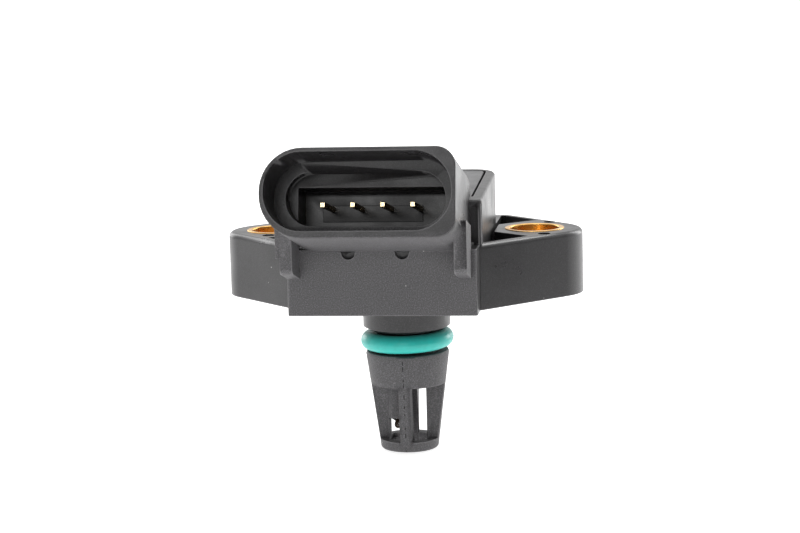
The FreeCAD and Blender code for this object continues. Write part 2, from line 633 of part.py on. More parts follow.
def add_terminal_slots(body):
    """Passages that the terminals fill in the wall between socket and chamber."""
    slot = sketch_on(body, "YZ_Plane", "terminal_slot", z=first_terminal_x())
    terminal_outline(slot)
    row = pattern("LinearPattern", body, [pocket(body, slot, "terminal_width", both_ways=True)],
                  Direction=(origin_feature(body, "X_Axis"), [""]))
    bind(row, Length="(terminal_count - 1) * terminal_pitch", Occurrences="terminal_count")


def add_sleeve_holes(body):
    """Bores for the sleeves and the round marks beside them."""
    holes = sketch_on(body, "XY_Plane", "sleeve_bore", z="flange_height")
    for side in (-1, 1):
        circle(holes, f"{side} * hole_spacing / 2", "0", SLEEVE_RADIUS)
    pocket(body, holes, "flange_height")
    marks = sketch_on(body, "XY_Plane", "pin_mark", z="flange_height")
    for across, along in (("-hole_spacing / 2", "-pin_mark_front"),
                          ("hole_spacing / 2 + right_mark_offset", "-pin_mark_front"),
                          ("hole_spacing / 2 + right_mark_offset", "pin_mark_front")):
        circle(marks, across, along, "pin_mark_radius")
    pocket(body, marks, "pin_mark_depth")


def make_housing():
    """The one moulding: flange, cell block, socket and port."""
    body = new_body("housing")
    add_flange(body)
    add_troughs(body)
    add_cell_block(body)
    add_front_details(body)
    add_socket_shell(body)
    add_socket_hollow(body)
    add_port(body)
    add_chamber(body)
    add_terminal_slots(body)
    add_sleeve_holes(body)
    return body


def make_lid():
    """Flat cover plate in the recess, its top flush with the sloping deck."""
    body = new_body("cover_lid")
    plan = sketch_on(body, "XY_Plane", "plan", z=deck_height(), tilt="deck_tilt")
    side = "block_half_width - lid_wall - lid_gap"
    rectangle(plan, f"-({side})", side, "lid_gap - lid_front", "block_back - lid_wall - lid_gap",
              "lid_corner_round")
    pad(body, plan, "lid_thickness", reverse=True)
    dress_edges("Chamfer", body, "lid_edge_chamfer", edge_on_deck())
    return body


def make_lid_adhesive():
    """Bead of glue between the lid and its ledge."""
    body = new_body("lid_adhesive")
    ring = sketch_on(body, "XY_Plane", "ring", z=f"{deck_height()} - lid_thickness / cos(deck_tilt)",
                     tilt="deck_tilt")
    side = "block_half_width - lid_wall - lid_gap - 0.1"
    rectangle(ring, f"-({side})", side, "lid_gap + 0.1 - lid_front",
              "block_back - lid_wall - lid_gap - 0.1", "lid_corner_round")
    rectangle(ring, f"-{CHAMBER_SIDE} - 0.05", f"{CHAMBER_SIDE} + 0.05", f"-{CHAMBER_FRONT} - 0.05",
              f"{CHAMBER_BACK} + 0.05", "chamber_round")
    pad(body, ring, "adhesive_thickness", reverse=True)
    return body


def make_sleeve(label, side):
    """Turned brass sleeve that takes the bolt's clamping force."""
    body = new_body(label)
    inner, outer, top = "sleeve_bore / 2", SLEEVE_RADIUS, "flange_height + sleeve_proud"
    wall = sketch_on(body, "XZ_Plane", "wall")
    outline(wall, [(f"{inner} + sleeve_chamfer", "0"), (outer, "0"), (outer, top),
                   (f"{inner} + sleeve_chamfer", top), (inner, f"{top} - sleeve_chamfer"),
                   (inner, "sleeve_chamfer")])
    turned("Revolution", body, wall)
    place(body, x=f"{side} * hole_spacing / 2")
    return body


def make_seal_ring():
    """Seal ring on the port's neck, leaning a little as it sits."""
    ring = doc.addObject("Part::Torus", "port_seal_ring")
    bind(ring, Radius1="neck_radius + ring_clearance + ring_section / 2", Radius2="ring_section / 2")
    place(ring, z="-ring_level", lean="ring_lean")
    return ring


def make_terminal(index):
    """Square contact pin, bent down to a foot on the chamber's floor."""
    body = new_body(f"terminal_{index + 1}")
    side_view = sketch_on(body, "YZ_Plane", "side_view")
    terminal_outline(side_view)
    pad(body, side_view, "terminal_width", both_ways=True)
    dress_edges("Chamfer", body, "terminal_tip_chamfer", edge_across_socket("terminal_tip_depth"))
    place(body, x=f"{first_terminal_x()} + {index} * terminal_pitch")
    return body


def board_outline(sketch, inset="0"):
    rectangle(sketch, f"-board_left + {inset}", f"board_right - {inset}",
              f"-board_front + {inset}", f"board_back - {inset}")


def board_holes(sketch, passage, leads):
    """Holes over the pressure passage and round the probe's leads."""
    circle(sketch, "passage_offset", "0", passage)
    for side in (-1, 1):
        circle(sketch, f"-guard_offset + {side} * lead_gauge / 2", "0", leads)


def make_board_adhesive():
    """Glue film that seals the board to the chamber's floor."""
    body = new_body("board_adhesive")
    film = sketch_on(body, "XY_Plane", "film", z="chamber_floor")
    board_outline(film, "glue_inset")
    board_holes(film, "passage_radius", "lead_radius + hole_clearance")
    pad(body, film, "adhesive_thickness")
    return body


def make_board():
    """Ceramic circuit board with holes for pressure and for the probe's leads."""
    body = new_body("circuit_board")
    plan = sketch_on(body, "XY_Plane", "plan", z="chamber_floor + adhesive_thickness")
    board_outline(plan)
    board_holes(plan, "pedestal_bore", "lead_radius + hole_clearance / 2")
    pad(body, plan, "board_thickness")
    return body


def make_pedestal():
    """Glass block with a hole, which carries the pressure chip."""
    body = new_body("glass_pedestal")
    plan = sketch_on(body, "XY_Plane", "plan", x="passage_offset", z=BOARD_TOP)
    half = "pedestal_side / 2"
    rectangle(plan, f"-{half}", half, f"-{half}", half)
    circle(plan, "0", "0", "pedestal_bore")
    pad(body, plan, "pedestal_height")
    return body


def make_pressure_chip():
    """Silicon chip with a diaphragm over a recess in its underside."""
    body = new_body("pressure_chip")
    plan = sketch_on(body, "XY_Plane", "plan", x="passage_offset", z=CELL_BASE)
    half = "pedestal_side / 2"
    rectangle(plan, f"-{half}", half, f"-{half}", half)
    pad(body, plan, "cell_height")
    recess = sketch_on(body, "XY_Plane", "recess", x="passage_offset", z=CELL_BASE)
    half = "cell_recess_side / 2"
    rectangle(recess, f"-{half}", half, f"-{half}", half)
    pocket(body, recess, "cell_recess_depth", reverse=True)
    return body


def make_block(label, width, depth, height, x, y, z):
    """Plain rectangular chip, centred on x and y, standing on z."""
    block = doc.addObject("Part::Box", label)
    bind(block, Length=width, Width=depth, Height=height)
    place(block, x=f"{x} - {width} / 2", y=f"{y} - {depth} / 2", z=z)
    return block


DAM_SIDES = ("passage_offset - pedestal_side / 2 - dam_margin",
             "passage_offset + pedestal_side / 2 + dam_margin",
             "-pedestal_side / 2 - dam_margin",
             "amplifier_back + amplifier_depth / 2 + dam_margin")


def make_gel_dam():
    """Low frame that holds the protective gel round the chips."""
    body = new_body("gel_dam")
    frame = sketch_on(body, "XY_Plane", "frame", z=BOARD_TOP)
    left, right, front, back = DAM_SIDES
    rectangle(frame, left, right, front, back)
    rectangle(frame, f"{left} - dam_wall", f"{right} + dam_wall", f"{front} - dam_wall", f"{back} + dam_wall")
    pad(body, frame, "dam_height")
    return body


def wire_loop(x, y_start, z_start, y_end, z_end, crown):
    """Fine ribbon bond: up from one landing, over its crown and down to the other."""
    rise = (y_end - y_start) / 4
    points = [Vector(x, y_start, z_start), Vector(x, y_start, crown),
              Vector(x, y_start + rise, crown + abs(rise)), Vector(x, y_end - rise, crown + abs(rise)),
              Vector(x, y_end, crown), Vector(x, y_end, z_end)]
    half = number("wire_width") / 2
    corners = [Vector(x + i * half, y_start + j * half, z_start) for i, j in ((-1, -1), (1, -1), (1, 1), (-1, 1))]
    section = Part.makePolygon(corners + corners[:1])
    return Part.makePolygon(points).makePipeShell([section], True, False, 1)


def terminal_wires():
    """Wires from the terminals' feet to the board's edge."""
    foot_top, board_top = number("chamber_floor + terminal_width"), number(BOARD_TOP)
    y_foot = number("-terminal_foot_end - wire_landing")
    y_board = number("-board_front + wire_landing")
    first, pitch = number(first_terminal_x()), number("terminal_pitch")
    return [wire_loop(first + i * pitch, y_foot, foot_top, y_board, board_top,
                      board_top + number("wire_rise")) for i in range(int(number("terminal_count")))]


def chip_wires():
    """Wires from the pressure chip to the signal chip."""
    z_cell, z_amplifier = number(f"{CELL_BASE} + cell_height"), number(f"{BOARD_TOP} + amplifier_height")
    y_cell = number("pedestal_side / 2") - number("wire_landing") / 2
    y_amplifier = number("amplifier_back - amplifier_depth / 2") + number("wire_landing") / 2
    middle, step = number("passage_offset"), number("pedestal_side") / 4
    crown = z_cell + number("wire_rise") / 2
    return [wire_loop(middle + i * step, y_cell, z_cell, y_amplifier, z_amplifier, crown)
            for i in (-1, 0, 1)]


def make_bond_wires():
    """All bond wires, as one group of separate loops."""
    wires = doc.addObject("Part::Feature", "bond_wires")
    wires.Shape = Part.makeCompound(terminal_wires() + chip_wires())
    return wires


def make_gel(amplifier):
    """Soft gel that fills the dam round the chips and their wires."""
    left, right, front, back = (number(text) for text in DAM_SIDES)
    fill = Part.makeBox(right - left, back - front, number("gel_height"),
                        Vector(left, front, number(BOARD_TOP)))
    side = number("pedestal_side")
    cell = Part.makeBox(side, side, number("pedestal_height + cell_height"),
                        Vector(number("passage_offset") - side / 2, -side / 2, number(BOARD_TOP)))
    gel = doc.addObject("Part::Feature", "protective_gel")
    gel.Shape = fill.cut([cell, amplifier.Shape] + chip_wires())
    return gel


def make_capacitors():
    """Two ceramic capacitors on the board, as a group."""
    length, width, height = (number(f"capacitor_{side}") for side in ("length", "width", "height"))
    x, pitch = -number("capacitor_offset") - length / 2, number("capacitor_pitch")
    group = doc.addObject("Part::Feature", "chip_capacitors")
    group.Shape = Part.makeCompound([
        Part.makeBox(length, width, height, Vector(x, place_y - width / 2, number(BOARD_TOP)))
        for place_y in (-pitch / 2 - 1, pitch / 2 - 1)])
    return group


def make_bead():
    """Temperature-sensing bead with a flat top where its leads enter."""
    bead = doc.addObject("Part::Sphere", "probe_bead")
    bead.Angle1 = -90
    bind(bead, Radius="bead_radius", Angle2="bead_cap_angle")
    place(bead, x="-guard_offset", z=f"-{BEAD_LEVEL}")
    return bead


def make_lead(label, side):
    """Straight lead from the bead up through the housing and the board."""
    lead = doc.addObject("Part::Cylinder", label)
    foot = f"(bead_radius * sin(bead_cap_angle) - {BEAD_LEVEL})"
    bind(lead, Radius="lead_radius", Height=f"{BOARD_TOP} + lead_stub - {foot}")
    place(lead, x=f"-guard_offset + {side} * lead_gauge / 2", z=foot)
    return lead


def make_solder():
    """Solder cone round each lead on the board, as a group."""
    foot, top = number("solder_radius"), number("lead_radius") + 0.04
    cones = []
    for side in (-1, 1):
        base = Vector(number(f"-guard_offset + {side} * lead_gauge / 2"), 0, number(BOARD_TOP))
        cone = Part.makeCone(min(foot, number("lead_gauge") / 2 - 0.02), top, number("solder_height"), base)
        cones.append(cone.cut(Part.makeCylinder(number("lead_radius"), number("lead_stub"), base)))
    group = doc.addObject("Part::Feature", "lead_solder")
    group.Shape = Part.makeCompound(cones)
    return group


def make_all():
    """Every piece of the sensor."""
    pieces = [make_housing(), make_lid(), make_lid_adhesive(),
              make_sleeve("mounting_sleeve_left", -1), make_sleeve("mounting_sleeve_right", 1),
              make_seal_ring()]
    pieces += [make_terminal(index) for index in range(int(number("terminal_count")))]
    pieces += [make_board_adhesive(), make_board()]
    amplifier = make_block("signal_chip", "amplifier_width", "amplifier_depth", "amplifier_height",
                           "passage_offset", "amplifier_back", BOARD_TOP)
    cell = [make_pedestal(), make_pressure_chip(), amplifier]
    doc.recompute()
    pieces += cell + [make_gel_dam(), make_gel(amplifier), make_bond_wires(), make_capacitors()]
    pieces += [make_bead(), make_lead("probe_lead_left", -1), make_lead("probe_lead_right", 1),
               make_solder()]
    doc.recompute()
    return pieces


def check_and_export(pieces):
    """Stops on any failed object or bad solid, then writes one file per piece."""
    for item in doc.Objects:
        if "Invalid" in item.State or "Error" in item.State:
            raise RuntimeError(f"{item.Label} failed: {item.State}")
    for piece in pieces:
        if piece.Shape.isNull() or not piece.Shape.isValid() or piece.Shape.Volume <= 0:
            raise RuntimeError(f"{piece.Label} has no valid solid")
    os.makedirs("parts", exist_ok=True)
    for piece in pieces:
        piece.Shape.exportStep(f"parts/{piece.Label}.step")
        print(f"{piece.Label}: {len(piece.Shape.Solids)} solid(s), {piece.Shape.Volume:.3f} mm3")


check_and_export(make_all())
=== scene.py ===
import math
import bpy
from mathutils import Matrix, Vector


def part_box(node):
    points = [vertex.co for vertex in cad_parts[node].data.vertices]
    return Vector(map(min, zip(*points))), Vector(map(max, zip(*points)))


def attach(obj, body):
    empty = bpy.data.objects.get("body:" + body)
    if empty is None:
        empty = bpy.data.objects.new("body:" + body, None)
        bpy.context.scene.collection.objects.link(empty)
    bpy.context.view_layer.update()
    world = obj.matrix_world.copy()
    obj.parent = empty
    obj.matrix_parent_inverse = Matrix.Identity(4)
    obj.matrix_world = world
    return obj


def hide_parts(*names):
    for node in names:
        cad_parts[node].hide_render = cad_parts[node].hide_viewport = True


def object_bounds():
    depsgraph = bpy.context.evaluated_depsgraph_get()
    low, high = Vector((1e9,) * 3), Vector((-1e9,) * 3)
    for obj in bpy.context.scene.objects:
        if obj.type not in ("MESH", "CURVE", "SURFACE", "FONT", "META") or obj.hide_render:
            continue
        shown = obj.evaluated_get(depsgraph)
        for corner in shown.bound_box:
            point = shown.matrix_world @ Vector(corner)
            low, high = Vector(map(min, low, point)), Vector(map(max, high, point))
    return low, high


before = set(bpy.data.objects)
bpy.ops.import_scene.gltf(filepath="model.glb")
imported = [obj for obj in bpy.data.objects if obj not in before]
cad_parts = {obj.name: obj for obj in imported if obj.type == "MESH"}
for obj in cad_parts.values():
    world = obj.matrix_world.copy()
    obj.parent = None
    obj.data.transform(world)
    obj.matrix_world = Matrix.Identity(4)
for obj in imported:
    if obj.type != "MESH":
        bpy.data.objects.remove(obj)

from types import SimpleNamespace

import bmesh
import bpy
import numpy as np
from bpy.props import FloatProperty, FloatVectorProperty, IntProperty, PointerProperty
from mathutils import Matrix, Vector

# Looks of the manifold pressure sensor. Lengths in this file are in millimetres unless a property
# has a length unit, and MM turns them into metres.

bl_info = {
    "name": "Manifold Pressure Sensor",
    "version": (1, 0, 0),
    "blender": (4, 5, 0),
    "location": "3D View > Sidebar > Sensor",
    "description": "Builds the surfaces, finishes and studio of a manifold pressure sensor",
    "category": "Object",
}

MM = 0.001
FULL_TURN = 2 * math.pi
CAD_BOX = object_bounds()


def linear(hex_colour):
    """Linear red, green, blue and alpha of an sRGB hex colour."""
    parts = [int(hex_colour[i:i + 2], 16) / 255 for i in (0, 2, 4)]
    return [c / 12.92 if c <= 0.04045 else ((c + 0.055) / 1.055) ** 2.4 for c in parts] + [1.0]


def colour_property(name, description, hex_colour):
    """Colour that a user may change, from its sRGB hex value."""
    return FloatVectorProperty(name=name, description=description, size=4, min=0, max=1,
                               subtype="COLOR", default=linear(hex_colour))


def length_property(name, description, millimetres):
    """Length that a user may change, from millimetres."""
    return FloatProperty(name=name, description=description, unit="LENGTH", precision=5,
                         default=millimetres * MM)


def angle_property(name, description, degrees):
    """Angle that a user may change, from degrees."""
    return FloatProperty(name=name, description=description, subtype="ANGLE", default=math.radians(degrees))


class SensorShape(bpy.types.PropertyGroup):
    """Sizes of the pieces that the scene gives a finer surface."""

    seam_angle: angle_property("Sharp Edge Angle", "Housing edges that turn by more than this stay sharp", 32)
    ring_radius: length_property("Ring Radius", "Radius of the seal ring's middle line", 5.23)
    ring_section: length_property("Ring Section", "Thickness of the seal ring", 2.5)
    ring_level: length_property("Ring Depth", "Depth of the seal ring below the flange", 6.62)
    ring_lean: angle_property("Ring Lean", "Lean of the seal ring, lower to the left", 1.3)
    ring_flash: length_property("Ring Flash", "Height of the mould seam on the seal ring", 0.02)
    hole_spacing: length_property("Hole Spacing", "Distance between the two sleeves", 36.0)
    sleeve_bore: length_property("Sleeve Bore", "Inside diameter of the sleeves", 6.75)
    sleeve_wall: length_property("Sleeve Wall", "Wall of the sleeves", 0.7)
    sleeve_height: length_property("Sleeve Height", "Length of the sleeves", 8.85)
    sleeve_round: length_property("Sleeve Edge", "Rounding of the sleeves' edges", 0.18)
    terminal_width: length_property("Terminal Width", "Side of the terminals' square section", 0.63)
    terminal_edge: length_property("Terminal Edge", "Rounding along the terminals", 0.07)
    terminal_pitch: length_property("Terminal Pitch", "Distance between terminals", 3.87)
    terminal_count: IntProperty(name="Terminals", description="Number of terminals", default=4, min=1)
    bead_radius: length_property("Bead Radius", "Radius of the probe's bead", 0.78)


class SensorSocket(bpy.types.PropertyGroup):
    """Sizes of the plug socket, its gussets and the notches under it."""

    shell_tilt: angle_property("Shell Tilt", "Upward tilt of the shell and the mouth bay", 16)
    inner_tilt: angle_property("Inner Tilt", "Upward tilt of the well and the terminals", 12)
    reach: length_property("Reach", "Distance of the mouth in front of the port's axis", 30.5)
    level: length_property("Level", "Height of the mouth's middle above the flange's underside", 17.72)
    offset: length_property("Offset", "Distance of the socket's middle to the left", 1.75)
    half_width: length_property("Half Width", "Half the outside width", 12.4)
    half_height: length_property("Half Height", "Half the outside height", 5.7)
    left_round: length_property("Left Rounding", "Rounding of the left end", 5.5)
    right_round: length_property("Right Rounding", "Rounding of the right corners", 2.5)
    bay_half_width: length_property("Bay Half Width", "Half the inside width at the mouth", 11.86)
    bay_half_height: length_property("Bay Half Height", "Half the inside height at the mouth", 4.98)
    bay_rise: length_property("Bay Rise", "Rise of the bay's middle above the socket's", 0.2)
    bay_round: length_property("Bay Rounding", "Rounding of the bay's ends", 4.8)
    bay_depth: length_property("Bay Depth", "Depth of the bay", 7.3)
    well_half_width: length_property("Well Half Width", "Half the width of the inner well", 10.3)
    well_floor: length_property("Well Floor", "Distance of the well's floor below the middle", 3.7)
    well_roof: length_property("Well Roof", "Distance of the well's roof above the middle", 3.26)
    well_round: length_property("Well Rounding", "Rounding of the well's ends", 3.4)
    well_depth: length_property("Well Depth", "Depth of the well", 15.5)
    shelf_depth: length_property("Shelf Depth", "Depth of the shelf's face", 10.3)
    shelf_level: length_property("Shelf Level", "Height of the shelf's underside above the middle", 1.47)
    pit_left: length_property("Pit Left", "Reach of the deepest part to the left", 9.2)
    gusset_reach: length_property("Gusset Reach", "Reach of the gussets in front of the base", 5.2)
    gusset_foot: length_property("Gusset Foot", "Height of the gussets' lower ends", 4.95)
    gusset_step: length_property("Gusset Step", "Height of the step in the left gusset", 8.4)
    notch_radius: length_property("Notch Radius", "Radius of the notches under the socket", 1.05)
    notch_level: length_property("Notch Level", "Height of the notches' middle", 8.85)
    notch_depth: length_property("Notch Depth", "Depth of the notches", 0.5)


class SensorFinish(bpy.types.PropertyGroup):
    """Colours and surface sizes of the finishes."""

    plastic: colour_property("Housing", "Glass-filled polyester of the housing", "282728")
    # Eroded Skin: the eroded faces are really matt and grained; their paler colour is a painted sheen for the
    # spread reflection of that matt skin
    eroded_skin_sheen: colour_property("Eroded Skin", "Paler skin where the mould was spark-eroded", "484748")
    plastic_speck: colour_property("Housing Speck", "Glass fibre ends in the housing's skin", "77757A")
    lid: colour_property("Lid", "Polyester of the lid", "3C3B3D")
    rubber: colour_property("Seal", "Fluorocarbon rubber of the seal ring", "22B2A8")
    brass: colour_property("Sleeve Brass", "Turned brass of the sleeves", "E2B266")
    contact: colour_property("Contact", "Plated brass of the terminals", "E0CFAC")
    grain: length_property("Grain", "Width of the moulded grain", 0.15)
    edge: length_property("Edge Rounding", "Radius that softens the moulded edges", 0.12)
    # Edge Line: reach of the painted highlight, a lighter grey line along the outer edges
    edge_highlight_reach: length_property("Edge Line", "Reach of the lighter line along outer edges", 0.3)


class SensorStudio(bpy.types.PropertyGroup):
    """Camera and lamps, in metres and watts."""

    lens: FloatProperty(name="Focal Length", description="Lens for a 36 mm wide sensor", default=99.0)
    key: FloatProperty(name="Front Lamp", description="Power of the small front lamp", default=0.65)
    top: FloatProperty(name="Top Lamp", description="Power of the overhead lamp", default=1.2)
    sides: FloatProperty(name="Rear Lamps", description="Power of each rear side lamp", default=1.6)
    ambient: FloatProperty(name="Room Light", description="Strength of the room's even light", default=0.6)
    table: FloatProperty(name="Table Light", description="Light that the white floor sends up", default=1.2)
    floor: colour_property("Floor", "Paper floor", "E4E4E4")


# Meshes


def grid_faces(rows, columns, wrap_rows=False, wrap_columns=False):
    """Quads of a grid of points numbered row by row, as an array of four columns."""
    i = np.arange(rows if wrap_rows else rows - 1)[:, None]
    j = np.arange(columns if wrap_columns else columns - 1)[None, :]
    i_next, j_next = (i + 1) % rows, (j + 1) % columns
    corners = [i * columns + j, i * columns + j_next, i_next * columns + j_next, i_next * columns + j]
    return np.stack(np.broadcast_arrays(*corners), axis=-1).reshape(-1, 4)


def cap_faces(ring, centre):
    """Triangles from a centre point to a closed ring of point numbers."""
    return np.stack([ring, np.roll(ring, -1), np.full(len(ring), centre)], axis=-1)


def new_mesh(name, points, faces):
    """Mesh from an array of points in millimetres and a list of faces."""
    mesh = bpy.data.meshes.new(name)
    mesh.from_pydata((points * MM).tolist(), [], faces)
    return mesh


def new_object(name, data):
    """Object with the given data in the scene."""
    item = bpy.data.objects.new(name, data)
    bpy.context.scene.collection.objects.link(item)
    return item


def new_piece(name, points, faces, finish):
    """Smooth piece from points in millimetres and a list of face arrays, riding on the sensor."""
    mesh = new_mesh(name, points, [face for group in faces for face in group.tolist()])
    mesh.polygons.foreach_set("use_smooth", np.ones(len(mesh.polygons), bool))
    mesh.update()
    return dress(new_object(name, mesh), finish)


def dress(piece, finish):
    """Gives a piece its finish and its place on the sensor."""
    piece.data.materials.clear()
    piece.data.materials.append(finish)
    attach(piece, "root")
    return piece


def turned_surface(profile, segments):
    """Surface of revolution about Z: each (radius, height) of the profile goes round in a circle."""
    angle = np.linspace(0, FULL_TURN, segments, endpoint=False)[:, None]
    radius, height = np.asarray(profile).T
    points = np.stack([radius * np.cos(angle), radius * np.sin(angle), height + 0 * angle], axis=-1)
    return points.reshape(-1, 3)


def turned_solid(profile, segments, low, high):
    """Surface of revolution of a profile that runs upwards, closed by a point on Z at either end."""
    surface, rows = turned_surface(profile, segments), len(profile)
    lowest = np.arange(segments) * rows
    faces = [grid_faces(segments, rows, True, False), cap_faces(lowest[::-1], len(surface)),
             cap_faces(lowest + rows - 1, len(surface) + 1)]
    return np.concatenate([surface, [[0, 0, low], [0, 0, high]]]), faces


def rounded_corner(centre, radius, start, end, count=6):
    """Points on an arc round a centre, between two angles in degrees."""
    angle = np.radians(np.linspace(start, end, count))
    return np.stack([centre[0] + radius * np.cos(angle), centre[1] + radius * np.sin(angle)], axis=-1)


def rounded_path(corners, radius, count=8):
    """Line through corner points of a plane, with an arc of one radius at each inner corner."""
    path = [corners[:1]]
    for before, here, after in zip(corners, corners[1:], corners[2:]):
        back, onward = ((other - here) / np.linalg.norm(other - here) for other in (before, after))
        half = math.acos(float(back @ onward)) / 2
        middle = here + (back + onward) / np.linalg.norm(back + onward) * radius / math.sin(half)
        first, last = (here + way * radius / math.tan(half) for way in (back, onward))
        share = np.linspace(0, 1, count)[:, None]
        chord = first * (1 - share) + last * share - middle
        path.append(middle + radius * chord / np.linalg.norm(chord, axis=1, keepdims=True))
    return np.concatenate(path + [corners[-1:]])


def rounded_rectangle(left, right, low, high, rounds=(0, 0, 0, 0), count=12):
    """Outline of a rectangle, anticlockwise from its lower left corner, each corner with its own round."""
    corners = ((left, low, 1, 1), (right, low, -1, 1), (right, high, -1, -1), (left, high, 1, -1))
    return np.concatenate([
        rounded_corner((x + side * r, y + rise * r), r, turn, turn + 90, count if r else 1)
        for (x, y, side, rise), r, turn in zip(corners, rounds, (180, 270, 0, 90))])


def closed_tube(sections):
    """Solid through sections of as many points each: walls between them and a flat cap at both ends."""
    count, rows = len(sections[0]), len(sections)
    walls = grid_faces(rows, count, False, True).tolist()
    caps = [list(range(count)), list(range((rows - 1) * count, rows * count))]
    return np.concatenate(sections), walls + caps


def carved(mesh, points, faces, operation):
    """New mesh from a closed mesh and a closed tool in millimetres, cut out of it or joined to it."""
    tool_mesh = new_mesh("tool", points, faces)
    shape = bmesh.new()
    shape.from_mesh(tool_mesh)
    bmesh.ops.recalc_face_normals(shape, faces=shape.faces)
    shape.to_mesh(tool_mesh)
    shape.free()
    body, tool = new_object("body", mesh), new_object("tool", tool_mesh)
    step = body.modifiers.new(operation.title(), "BOOLEAN")
    step.operation, step.object, step.solver = operation, tool, "EXACT"
    graph = bpy.context.evaluated_depsgraph_get()
    result = bpy.data.meshes.new_from_object(body.evaluated_get(graph))
    for item in (body, tool):
        bpy.data.objects.remove(item)
    if not result.polygons:
        raise RuntimeError("a tool of the housing left nothing")
    return result


def swept_surface(path, widths, section):
    """Section carried along a path in the YZ plane: across is X, and up is square to the path."""
    tangent = np.gradient(path, axis=0)
    tangent /= np.linalg.norm(tangent, axis=1, keepdims=True)
    up = np.stack([-tangent[:, 1], tangent[:, 0]], axis=-1)
    across, offset = (side * widths[:, None] for side in section.T)
    y, z = (path[:, [axis]] + offset * up[:, [axis]] for axis in (0, 1))
    return np.stack([across, y, z], axis=-1).reshape(-1, 3)


# Nodes


def give(tree, node, inputs):
    """Gives each named input of a node a value or a link."""
    for name, value in inputs.items():
        if isinstance(value, bpy.types.NodeSocket):
            tree.links.new(value, node.inputs[name])
        else:
            node.inputs[name].default_value = value


def add(tree, kind, inputs=None, **settings):
    """Adds a node, sets its properties, and gives each named input a value or a link."""
    node = tree.nodes.new(kind)
    for name, value in settings.items():
        setattr(node, name, value)
    give(tree, node, inputs or {})
    return node


def new_finish(name):
    """Empty node material: itself, its tree, its Principled shader and the place on the object."""
    finish = bpy.data.materials.new(name)
    finish.use_nodes = True
    tree = finish.node_tree
    tree.nodes.clear()
    shader = add(tree, "ShaderNodeBsdfPrincipled")
    add(tree, "ShaderNodeOutputMaterial", {"Surface": shader.outputs["BSDF"]})
    return finish, tree, shader, add(tree, "ShaderNodeTexCoord").outputs["Object"]


def combine(tree, operation, *values):
    """Values combined in turn by one operation of the Math node."""
    result = values[0]
    for value in values[1:]:
        result = add(tree, "ShaderNodeMath", {0: result, 1: value}, operation=operation).outputs[0]
    return result


def mix_colour(tree, factor, first, second):
    """Result of mixing two colours by a factor."""
    inputs = {"Factor": factor, "A": first, "B": second}
    return add(tree, "ShaderNodeMix", inputs, data_type="RGBA").outputs["Result"]


def ramp_between(tree, value, low, high, start=0.0, end=1.0):
    """Value carried smoothly from start to end as its input goes from low to high."""
    limits = {"Value": value, "From Min": low, "From Max": high, "To Min": start, "To Max": end}
    node = add(tree, "ShaderNodeMapRange", limits, interpolation_type="SMOOTHSTEP")
    return node.outputs["Result"]


def mask_along(tree, axis, outside, inside):
    """0 to 1 between two places in millimetres along an axis."""
    return ramp_between(tree, axis, outside * MM, inside * MM)


def noise(tree, where, size, detail, roughness=0.5):
    """Noise whose largest features have about the given size in millimetres."""
    inputs = {"Vector": where, "Scale": 1 / (size * MM), "Detail": detail, "Roughness": roughness}
    return add(tree, "ShaderNodeTexNoise", inputs).outputs["Fac"]


def stretched(tree, where, *shares):
    """Coordinates times a share along X, Y and Z: a small share draws a pattern out along its axis."""
    return add(tree, "ShaderNodeMapping", {"Vector": where, "Scale": shares}).outputs[0]


def add_relief(tree, shader, height, strength, depth, **more):
    """Relief of a depth in millimetres on the shader's surface."""
    inputs = {"Height": height, "Strength": strength, "Distance": depth * MM, **more}
    give(tree, shader, {"Normal": add(tree, "ShaderNodeBump", inputs).outputs["Normal"]})


# Finishes


def moulded_polyester(name, colour, finish, seams):
    """Glass-filled polyester, injection moulded: matt and finely grained on the eroded faces, whose paler
    colour is a painted sheen for their spread reflection, smoother where the mould was polished, with fibre
    ends as pale specks and a painted highlight along the outer edges."""
    material, tree, shader, where = new_finish(name)
    axes = add(tree, "ShaderNodeSeparateXYZ", {0: where}).outputs
    eroded = eroded_faces(tree, axes["Y"], axes["Z"])
    grain = noise(tree, where, finish.grain / MM, 3.0, 0.7)
    flow = noise(tree, where, 5, 4.0, 0.6)
    draw_marks = noise(tree, stretched(tree, where, 1.0, 1.0, 0.04), 0.6, 2.0)
    speckle = combine(tree, "MULTIPLY", ramp_between(tree, grain, 0.45, 0.68),
                      ramp_between(tree, eroded, 0.0, 1.0, 0.12, 0.6))

    shade = [0.55 * part for part in colour[:3]] + [1.0]
    base = mix_colour(tree, ramp_between(tree, flow, 0.3, 0.75, 0.0, 0.35), colour, shade)
    # Painted sheen: the eroded faces get a paler colour for the spread reflection of their matt skin
    base = mix_colour(tree, eroded, base, finish.eroded_skin_sheen)
    base = mix_colour(tree, speckle, base, finish.plastic_speck)
    # Painted highlight: a lighter grey line along the outer edges, broken up by the flow noise
    base = mix_colour(tree, painted_edge_highlight(tree, flow, finish.edge_highlight_reach), base, linear("8A898B"))
    base = mix_colour(tree, dust_spots(tree, where), base, linear("C8C6C2"))
    if seams:
        base = mix_colour(tree, port_seam(tree, where, axes["X"], axes["Z"]), base, linear("0B0B0B"))
    rough = combine(tree, "ADD", ramp_between(tree, eroded, 0.0, 1.0, 0.32, 0.62),
                    ramp_between(tree, flow, 0.3, 0.7, -0.05, 0.06))
    give(tree, shader, {"Base Color": base, "Roughness": rough, "IOR": 1.5})

    soft_edge = add(tree, "ShaderNodeBevel", {"Radius": finish.edge}, samples=6).outputs["Normal"]
    height = combine(tree, "MULTIPLY", grain, ramp_between(tree, eroded, 0.0, 1.0, 0.3, 1.0))
    height = combine(tree, "ADD", height, combine(tree, "MULTIPLY", draw_marks, 0.25))
    add_relief(tree, shader, height, 0.5, 0.03, Normal=soft_edge)
    return material


